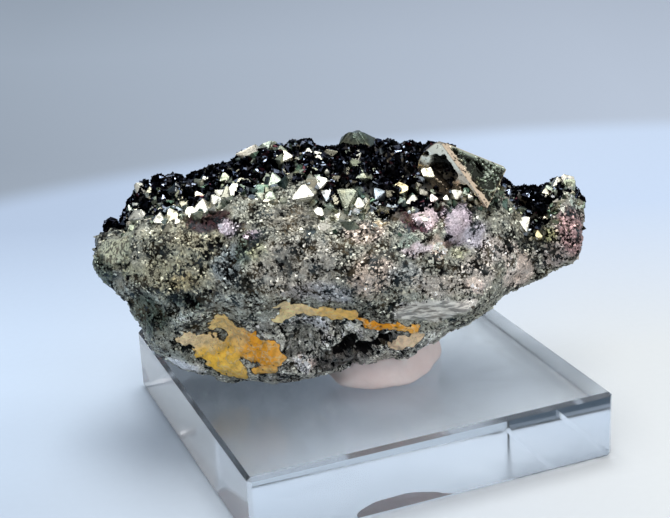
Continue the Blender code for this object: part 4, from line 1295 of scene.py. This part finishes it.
def acrylic_finish():
    """Clear cast acrylic: a polished front, a left side and chamfers that are less so, a top hazed by
    handling, and a trace of blue through its depth."""
    look = Finish("clear acrylic")
    across, deep, height = look.where.parts("SeparateXYZ")
    smear = look.noise(90.0, 4.0, distortion=1.2)
    side = (BLOCK_HALF - NEAR_SIDE) * MM
    on_top = height.over((BLOCK_TOP - NEAR_TOP) * MM)
    off_sides = abs(across).most(abs(deep)).under(side)
    chamfer = off_sides * (height.over(BLOCK_CHAMFER_TOP * MM) - on_top)
    rough = look.mix(across.under(-side), look.ramp(smear, 0.4, 0.75, 0.01, 0.06), 0.10)
    rough = look.mix(on_top, look.mix(chamfer, rough, 0.20), look.ramp(smear, 0.3, 0.7, 0.12, 0.26))
    depth = look.new("VolumeAbsorption", {"Color": ACRYLIC_BLUE, "Density": 4.0})
    join(look.tree.nodes["Material Output"].inputs["Volume"], depth)
    return look.shade(Base_Color=ACRYLIC_CLEAR, Transmission_Weight=1.0, IOR=1.49, Roughness=rough)


def table_finish():
    """The pale table, bluer on the left and darker far away, whose round far edge fades into the grey-blue
    backdrop. Its darkening far away, at the near left and on the backdrop's left and foot is painted light
    falloff and shade, and beneath the block it carries a painted shadow under the left part and painted
    light under the right."""
    look = Finish("pale table")
    centre = (TABLE_CENTRE[0] * MM, TABLE_CENTRE[1] * MM, 0.0)
    from_centre = look.vector("DISTANCE", look.where, centre, out="Value")
    begins, ends = (TABLE_RADIUS - TABLE_FADE) * MM, (TABLE_RADIUS + TABLE_FADE) * MM
    edge = look.ramp(from_centre, begins, ends, soft=True)
    rightward = look.vector("DOT_PRODUCT", look.where, TABLE_RIGHT, out="Value")
    nearward = look.vector("DOT_PRODUCT", look.where, TABLE_NEAR, out="Value")

    def sideways(share, place):
        return look.blend(share, TABLE_COLOURS[place + " left"], TABLE_COLOURS[place + " right"])

    to_right = look.ramp(rightward, -0.055, 0.04)
    to_near = look.ramp(nearward, -0.09, -0.02)
    pale = look.blend(to_near, sideways(to_right, "far"), sideways(to_right, "near"))
    # Painted shade at the near left
    front = look.ramp(nearward, -0.015, 0.02, 0.0, 0.18) * (1.0 - to_right)
    # Painted light falloff: the backdrop darker on its left and at its foot
    behind = look.ramp(rightward, -0.10, 0.075)
    foot = look.ramp(nearward, -0.25, -0.14, 0.0, 0.20) * (1.0 - behind)
    backdrop = sideways(behind, "backdrop").scaled(1.0 - foot)
    x, y, _ = look.vector("ABSOLUTE", look.where).parts("SeparateXYZ")
    # Painted shadow and light beneath the block: darker under its left part, brighter under its right
    beneath = look.ramp(x.most(y), 0.023, 0.026, 1.0, 0.0)
    painted_shadow_and_light = look.ramp(rightward, -0.032, -0.002, 0.12, 1.5)
    pale = pale.scaled(1.0 - front).scaled(look.mix(beneath, 1.0, painted_shadow_and_light))
    mottle = look.ramp(look.noise(900.0, 2.0), 0.0, 1.0, 0.97, 1.0)
    return look.shade(Base_Color=look.blend(edge, pale, backdrop).scaled(mottle), Roughness=0.6,
                      Specular_IOR_Level=0.2)


def build_crust(crust):
    """The specimen's surface in one closed mesh, with its colours and marks: how far each point is earth,
    painted shade and striated, and how far it is pitted, lined, feathery and glittering."""
    field = crust.field
    rest = 1.0 - field["druse"]
    colours = PATCH_GAIN * field["colour"] * np.exp(0.10 * rough_noise(crust.points, 1.4, 105))[..., None]
    # The lumps' own tone, with painted light on their tops and painted shade at their edges
    colours = np.clip(colours * field["tops"][..., None], 0.0, BRIGHTEST)
    colours = colours + (np.array(UNDER_DRUSE) - colours) * field["druse"][..., None]
    # Painted shade: parts sunk more than about half a millimetre, the wall's pits and the creases between
    # lumps are darkened in colour
    hollow = smooth_step(-0.50, -0.95, crust.height) * rest
    dark = np.clip(0.70 * hollow + 0.6 * field["gaps"] + 0.6 * field["crease"], 0.0, 1.0)
    lined = 1.0 - 0.75 * field["smooth"]
    grade = np.stack([field["pits"], lined, field["feathery"], field["glitter"]], axis=-1)
    earth = field["earth_colour"] * EARTH_GAIN
    layers = {
        "tint": colours,
        "marks": np.stack([field["earth"] * rest, dark, field["striated"] * rest], axis=-1),
        "earth": earth / np.maximum(1.0, earth.max(axis=-1, keepdims=True) / EARTH_BRIGHTEST),
        "grade": grade * rest[..., None],
    }
    layers = {label: with_poles(values) for label, values in layers.items()}
    make_piece("pyrite_crust", *closed_tube(crust.points), "pyrite", crust_finish(), layers, smooth=True,
               node="pyrite_specimen")


def random_stretch(random, count, spread):
    return np.exp(random.normal(0.0, spread, (count, 3)))


def flat_values(values, chosen):
    return values.reshape(-1, *values.shape[2:])[chosen]


def seated_grains(crust, count, weight, seed, radii_between, power, tilt, rise):
    """Octahedra set in the crust with one face looking out, tilted a little at random, so that it stands
    out by a chosen rise. Gives the places, radii, turns, grid numbers and the random numbers to go on
    with."""
    chosen, places, random = scatter(crust, count, weight, seed)
    low, high = radii_between
    radii = low + (high - low) * random.random(count) ** power
    normals = flat_values(crust.normals, chosen)
    looks = normals + random.normal(0.0, tilt, (count, 3))
    turns = turns_facing(looks, random.uniform(0.0, 2 * math.pi, count))
    lift = random.uniform(rise[0], rise[1], count) - radii / math.sqrt(3)
    return places + normals * lift[:, None], radii, turns, chosen, random


def build_wall_grains(crust):
    """Small octahedra set in the wall, in the colours of the patches they stand in, most of them where it
    glitters. A few are bright and some are dark."""
    field = crust.field
    weight = (1.0 - field["druse"]) * (1.0 - smooth_step(0.3, 0.5, field["earth"]))
    for name, share in WITHOUT_GRAINS:
        weight = weight * (1.0 - share * field[name])
    weight = weight * smooth_step(-0.9, -0.5, crust.height) * (0.05 + field["glitter"])
    weight = weight * np.where(crust.around < 4.2, 1.0, 0.5)
    centres, radii, turns, chosen, random = seated_grains(
        crust, WALL_GRAINS, weight, 101, (0.18, 0.42), 2.2, 0.40, (0.0, 0.11))
    tone = np.exp(random.normal(0.0, 0.25, WALL_GRAINS))
    luck = random.random(WALL_GRAINS)
    tone = np.where(luck > 0.90, 1.7, np.where(luck < 0.22, 0.06, tone))
    colours = np.clip(PATCH_GAIN * flat_values(field["colour"], chosen) * tone[:, None], 0.0, BRIGHTEST)
    material = grain_finish("grains of the wall", 0.7, 0.28, 0.5, 0.2, 0.15, 1.0)
    stretches = random_stretch(random, WALL_GRAINS, 0.18)
    points, triangles, tints = plain_octahedra(centres, radii, turns, stretches, colours)
    make_piece("wall_grains", points, triangles, "pyrite", material, {"tint": tints})


def build_druse(crust):
    """The black druse over the top, the neck and the back: dark octahedra heaped on round clumps, with a
    few pale and wine-red ones among them."""
    facing = smooth_step(-1.4, -0.6, front_corner(crust.around))
    weight = (crust.field["druse"] + 0.0005) * (0.35 + 0.65 * facing)
    weight = weight * (0.10 + smooth_step(-0.6, 0.1, crust.height))
    weight = weight * smooth_step(LEFT_END + 0.6, LEFT_END + 2.0, crust.along)
    centres, radii, turns, _, random = seated_grains(
        crust, DRUSE_GRAINS, weight, 111, (0.18, 0.72), 2.3, 0.75, (0.03, 0.26))
    luck = random.random(DRUSE_GRAINS)[:, None]
    dark = np.array(DRUSE_DARK) * np.exp(random.normal(0.0, 0.9, DRUSE_GRAINS))[:, None]
    steel = np.array(DRUSE_STEEL) * random.uniform(0.05, 1.4, DRUSE_GRAINS)[:, None] ** 1.5
    wine = np.array(DRUSE_WINE) * random.uniform(0.3, 1.3, DRUSE_GRAINS)[:, None]
    colours = np.where(luck < 0.04, wine, np.where(luck > 0.90, steel, dark))
    material = grain_finish("black druse", 1.0, 0.10, 0.22, 0.0, 0.01, 0.25)
    stretches = random_stretch(random, DRUSE_GRAINS, 0.12)
    points, triangles, tints = plain_octahedra(centres, radii, turns, stretches, colours)
    make_piece("black_druse", points, triangles, "pyrite", material, {"tint": tints})


def random_tints(random, kinds, count):
    """A tint of one of the kinds for each crystal, dimmed by up to a half."""
    tints = np.array([TINTS[kind] for kind in kinds])
    return tints[random.integers(0, len(tints), count)] * random.uniform(0.5, 1.0, (count, 1))


def build_brass_crystals(material):
    """The pale crystals on the shoulder, the left end and the knob, each with a few smaller ones grown
    against it. Their broad faces look much the same way, as crystals grown in parallel do."""
    random = np.random.default_rng(121)
    rows = np.array([row[:6] for row in BRASS_CRYSTALS])
    small = np.repeat(rows, SATELLITES, axis=0)
    count = len(small)
    reach = small[:, 2] * random.uniform(0.6, 1.5, count)
    angle = random.uniform(0.0, 2 * math.pi, count)
    small[:, 0] = np.clip(small[:, 0] + reach * np.cos(angle), LEFT_END + 3.0, RIGHT_END - 2.0)
    small[:, 1] += reach * np.sin(angle) * CORNERS_PER_MM
    small[:, 2] *= random.uniform(0.30, 0.75, count)
    small[:, 3] = random.uniform(0.0, 0.2, count)
    small[:, 4] = random.uniform(0.0, 90.0, count)
    small_tints = random_tints(random, ("cream", "brass", "mint", "green", "steel", "dark green"), count)
    tints = np.concatenate([[TINTS[row[6]] for row in BRASS_CRYSTALS], small_tints])
    jitter = np.repeat((0.08, 0.5), (len(rows), count))
    rows = np.concatenate([rows, small])
    along, around, radii, sunk, roll, stretch = rows.T
    centres = skin(along, around) + outward(along, around) * (radii * (sunk - 0.45) + 0.15)[:, None]
    looks = np.array(GLINT) + random.normal(0.0, 1.0, (len(rows), 3)) * jitter[:, None]
    stretches = np.ones((len(rows), 3))
    stretches[:, 0] = stretch
    rings = ((0.05, 0.012), (0.20, 0.014), (0.24, 0.03), (0.62, 0.034), (0.66, 0.045))
    turns = turns_facing(looks, np.radians(roll))
    make_crystals("brass_crystals", material, centres, radii, turns, stretches, rings, random, tints, 0.34)


def build_fringe(crust, material):
    """Small pale crystals where the druse thins out into the wall, and a few over the druse."""
    druse = crust.field["druse"]
    apart = front_corner(crust.around) - line_at(DRUSE_FRONT, crust.along)
    right = 1.0 - smooth_step(-27.5, -29.5, crust.along)
    weight = np.exp(-(apart / 0.24) ** 2) * right + 0.04 * druse + 0.3 * spot(crust.points, *KNOB_TOP)
    weight = weight * smooth_step(-0.9, -0.5, crust.height + 0.5 * druse)
    weight = weight * (0.06 + smooth_step(0.1, 0.5, rough_noise(crust.points, 3.4, 145)))
    count = FRINGE_CRYSTALS
    chosen, places, random = scatter(crust, count, weight, 141)
    radii = 0.30 + 0.85 * random.random(count) ** 2.2
    normals = flat_values(crust.normals, chosen)
    looks = np.array(GLINT) * random.uniform(0.0, 1.0, (count, 1)) + normals
    looks = looks + random.normal(0.0, 0.45, (count, 3))
    turns = turns_facing(looks, random.uniform(0.0, 2 * math.pi, count))
    kinds = ("cream", "green", "brass", "brass", "steel", "dark green", "dark green")
    tints = random_tints(random, kinds, count)
    make_crystals("pale_fringe", material, places - normals * (0.30 * radii)[:, None], radii, turns,
                  random_stretch(random, count, 0.2), ((0.08, 0.015),), random, tints, 0.3)


def lattice_octahedron(steps):
    """The points of a fine octahedron, whole numbers whose sizes add up to the number of steps, and its
    triangles, anticlockwise from outside. Each face is a triangular grid, and faces share the points on
    their edges."""
    first, second = (grid.ravel() for grid in np.meshgrid(*[np.arange(steps + 1)] * 2, indexing="ij"))
    keep = first + second <= steps
    first, second = first[keep], second[keep]
    cells = np.stack([first, second, steps - first - second], -1)
    up = cells[cells[:, 2] >= 1]
    rising = np.stack([up, up + (1, 0, -1), up + (0, 1, -1)], 1)
    down = cells[cells[:, 2] >= 2]
    falling = np.stack([down + (1, 0, -1), down + (1, 1, -2), down + (0, 1, -1)], 1)
    corners = np.concatenate([rising, falling])
    faces = []
    for sign in itertools.product((1, -1), repeat=3):
        faces.append((corners * sign)[:, ::math.prod(sign)])
    points, index = np.unique(np.concatenate(faces).reshape(-1, 3), axis=0, return_inverse=True)
    return points, index.reshape(-1, 3)


def inside_outline(u, v, corners, soft):
    """1 inside a convex outline in the plane, 0 outside, with a soft edge: the smallest distance to its
    sides."""
    corners = np.array(corners)
    after = np.roll(corners, -1, axis=0)
    area = np.sum(corners[:, 0] * after[:, 1] - after[:, 0] * corners[:, 1])
    reach = np.full(u.shape, FAR)
    for (x0, y0), (x1, y1) in zip(corners, after):
        side = (x1 - x0) * (v - y0) - (y1 - y0) * (u - x0)
        reach = np.minimum(reach, math.copysign(1.0, area) * side / math.hypot(x1 - x0, y1 - y0))
    return smooth_step(0.0, soft, reach)


def build_skeletal_crystal():
    """The hollow crystal on the right shoulder. Its points are shares a, b and s towards its apex, front
    and right corners. Its left face steps down inside a pale frame, and its right face is green and
    pitted."""
    lattice, triangles = lattice_octahedron(LATTICE_STEPS)
    share = lattice / LATTICE_STEPS
    a, b, s = share.T
    axes = np.array([MAIN_CRYSTAL[name] for name in ("apex", "front", "right")])
    towards_apex = np.clip(a, 0.0, 1.0)
    bulge = np.where(s < 0.0, 1.0 + 1.5 * towards_apex ** 2, 1.0)
    blunted = np.stack([np.clip(a, -1.0, 0.97), b, np.minimum(s * bulge, 0.95 - 0.14 * towards_apex)], -1)
    points = blunted @ axes + np.array(MAIN_CRYSTAL["centre"])
    ragged = 0.02 * rough_noise(points, 0.9, 151) + 0.012 * rough_noise(points, 0.35, 155)
    left = ((a > 0) & (b > 0) & (s < 0)).astype(float)
    right = ((a > 0) & (b > 0) & (s > 0)).astype(float)
    recess = smooth_step(0.055, 0.04, np.hypot(b - 0.01 + ragged, -s - 0.237))
    for outline in LEFT_RECESSES:
        recess = np.maximum(recess, inside_outline(b + ragged, -s + ragged, outline, 0.02))
    terrace = 0.5 * inside_outline(b + ragged, -s + ragged, LEFT_RECESSES[0], 0.12)
    pits = np.zeros(a.shape)
    for at_b, at_s, radius, deep in RIGHT_PITS:
        away = np.hypot(b - at_b + 1.4 * ragged, (s - at_s) * 0.9 - 1.2 * ragged)
        pits = np.maximum(pits, deep * smooth_step(radius, radius * 0.6, away))
    veins = np.abs(rough_noise(points * (1.0, 0.6, 1.3), 0.8, 161))
    inner = smooth_step(0.03, 0.07, np.minimum(np.minimum(b, s), 1.0 - b - s + 0.5))
    mottle = smooth_step(0.12, 0.20, veins) * inner * smooth_step(0.10, 0.16, s + 0.6 * ragged)
    others = (1.0 - left) * (1.0 - right) * smooth_step(0.1, 0.2, np.abs(share).min(axis=1))
    depth = left * (recess + terrace) + right * np.maximum(pits, 0.28 * mottle) + 0.4 * others
    inward = -(np.sign(share) @ np.linalg.inv(axes).T)
    inward = inward / np.maximum(np.linalg.norm(inward, axis=1, keepdims=True), 1e-9)
    # Painted highlight: the left face is made paler towards the apex
    tip_highlight = left * smooth_step(0.45, 0.6, a)
    colours = np.array(FRAME_TINT) + tip_highlight[:, None] * np.array(FRAME_TIP_HIGHLIGHT)
    colours = colours + (smooth_step(0.08, 0.22, s) * right)[:, None] * (np.array(GREEN_FACE) - colours)
    # Painted shade: the left face's recesses, the right face's pits and the cavities between its veins are
    # darkened almost to black, and the other faces, sunk further in, to about a third
    shade = 1.0 - 0.985 * np.clip(left * recess + right * np.maximum(pits * 1.6, 0.93 * mottle), 0.0, 1.0)
    colours = colours * (shade * (1.0 - 0.7 * others))[:, None]
    make_piece("skeletal_crystal", points + inward * depth[:, None], triangles, "pyrite", skeletal_finish(),
               {"tint": colours, "tip_highlight": (tip_highlight * (1.0 - recess))[:, None]})


def build_ridge_crystal(material):
    """The dark green crystal that stands up from the ridge."""
    centre, radius, angles = PEAK_CRYSTAL
    x, y, z = (Matrix.Rotation(math.radians(angle), 3, axis) for angle, axis in zip(angles, "XYZ"))
    rings = ((0.04, 0.008), (0.22, 0.01), (0.26, 0.03), (0.62, 0.03), (0.66, 0.045))
    make_crystals("ridge_crystal", material, [np.array(centre)], [radius], [np.array(z @ y @ x)], [1.0],
                  rings, np.random.default_rng(131), [np.array(PEAK_TINT)], 0.1)


def build_putty():
    """The pad: a profile carried round a wavy circle, flat below, its wall a little hollow, and its top
    pressed up into the specimen's underside."""
    angle = np.linspace(0.0, 2 * math.pi, PUTTY_ANGLES, endpoint=False)
    waves = 1.0 + 0.05 * (np.sin(3 * angle + 0.6) + 0.6 * np.sin(5 * angle))
    waves = waves + 0.012 * np.sin(11 * angle + 1.0)
    reach, level = np.array(PUTTY_PROFILE).T
    x = PUTTY_CENTRE[0] + PUTTY_HALF_WIDTH * reach[:, None] * (waves * np.cos(angle))[None]
    y = PUTTY_CENTRE[1] + PUTTY_HALF_DEPTH * reach[:, None] * (waves * np.sin(angle))[None]
    places = np.meshgrid(np.linspace(-9.0, 16.0, 90), np.linspace(3.3, 5.8, 70), indexing="ij")
    under = skin(*places).reshape(-1, 3)
    plan = np.stack([x, y], axis=-1).reshape(-1, 1, 2)
    nearest = np.argmin(((plan - under[None, :, :2]) ** 2).sum(axis=-1), axis=1)
    ceiling = under[nearest, 2].reshape(x.shape) + PUTTY_OVERLAP
    floor = BLOCK_TOP - 0.02
    rings = np.stack([x, y, floor + (ceiling - floor) * level[:, None]], axis=-1)
    dents = rough_noise(rings, 3.2, 141) * 0.22 * smooth_step(0.0, 0.3, level)[:, None]
    rings[..., 0] += dents * np.cos(angle)
    rings[..., 1] += dents * np.sin(angle)
    make_piece("putty_pad", *closed_tube(rings), "putty", putty_finish(), {}, True, "mounting_putty")


def build_block():
    """The block keeps its solid and gets the acrylic."""
    material = acrylic_finish()
    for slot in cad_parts["acrylic_block"].material_slots:
        slot.material = material


def build_table():
    """A flat disc, wide enough to reach the horizon from any side."""
    radius = np.concatenate([[0.02], np.geomspace(0.05, 4.0, 24)])[:, None]
    angle = np.linspace(0.0, 2 * math.pi, TABLE_ANGLES, endpoint=False)
    rings = np.stack([radius * np.cos(angle), radius * np.sin(angle), 0.0 * radius * angle], axis=-1)
    here = np.arange(TABLE_ANGLES)
    cap = np.stack([here, (here + 1) % TABLE_ANGLES, np.full(TABLE_ANGLES, radius.size * TABLE_ANGLES)], -1)
    triangles = np.concatenate([grid_triangles(radius.size, TABLE_ANGLES)[:, ::-1], cap])
    data = bpy.data.meshes.new("table")
    data.from_pydata([*rings.reshape(-1, 3).tolist(), (0.0, 0.0, 0.0)], [], triangles.tolist())
    data.materials.append(table_finish())
    table = bpy.data.objects.new("table", data)
    table.location.z = -0.0001
    bpy.context.scene.collection.objects.link(table)


def build_lights():
    """The three lights, turned towards the specimen, and a room that is bright in front on the right and
    dark behind on the left."""
    for name, place, size, watts, colour in LIGHTS:
        light = bpy.data.lights.new(name, "AREA")
        light.shape = "RECTANGLE"
        light.size, light.size_y = (side * MM for side in size)
        light.energy = watts
        light.color = colour
        lamp = bpy.data.objects.new(name, light)
        lamp.location = Vector(place) * MM
        lamp.rotation_euler = (Vector(LIGHT_AIM) - Vector(place)).to_track_quat("-Z", "Y").to_euler()
        bpy.context.scene.collection.objects.link(lamp)
    world = bpy.data.worlds.new("room")
    bpy.context.scene.world = world
    world.use_nodes = True
    room = Pattern(world.node_tree)
    x, y, _ = room.where.beside("Generated").parts("SeparateXYZ")
    right = room.ramp(x, -0.5, 0.1, soft=True)
    near, far = (room.blend(right, *colours) for colours in ROOM_COLOURS)
    background = world.node_tree.nodes["Background"]
    join(background.inputs["Color"], room.blend(room.ramp(y, 0.0, 0.5, soft=True), near, far))
    background.inputs["Strength"].default_value = ROOM_STRENGTH


def build_camera():
    data = bpy.data.cameras.new("photo camera")
    data.lens = CAMERA_LENS
    data.sensor_width = 36.0
    data.clip_start = 0.01
    camera = bpy.data.objects.new("photo camera", data)
    angles = (CAMERA_TURN, 90.0 - CAMERA_DOWN, CAMERA_ROLL)
    turn, tilt, roll = (Matrix.Rotation(math.radians(angle), 4, axis) for angle, axis in zip(angles, "ZXZ"))
    camera.matrix_world = Matrix.Translation(Vector(CAMERA_PLACE) * MM) @ turn @ tilt @ roll
    bpy.context.scene.collection.objects.link(camera)
    bpy.context.scene.camera = camera


def write_sizes():
    bpy.context.view_layer.update()


def main():
    bpy.context.scene.view_settings.view_transform = "Standard"
    build_camera()
    build_lights()
    build_table()
    for build_effect in (facets_effect, grain_and_pit_shade_effect, strokes_effect, tarnish_effect):
        build_effect()
    build_block()
    build_putty()
    crust = Crust()
    build_crust(crust)
    build_wall_grains(crust)
    build_druse(crust)
    brass = brass_finish()
    build_brass_crystals(brass)
    build_fringe(crust, brass)
    build_skeletal_crystal()
    build_ridge_crystal(brass)
    write_sizes()


main()
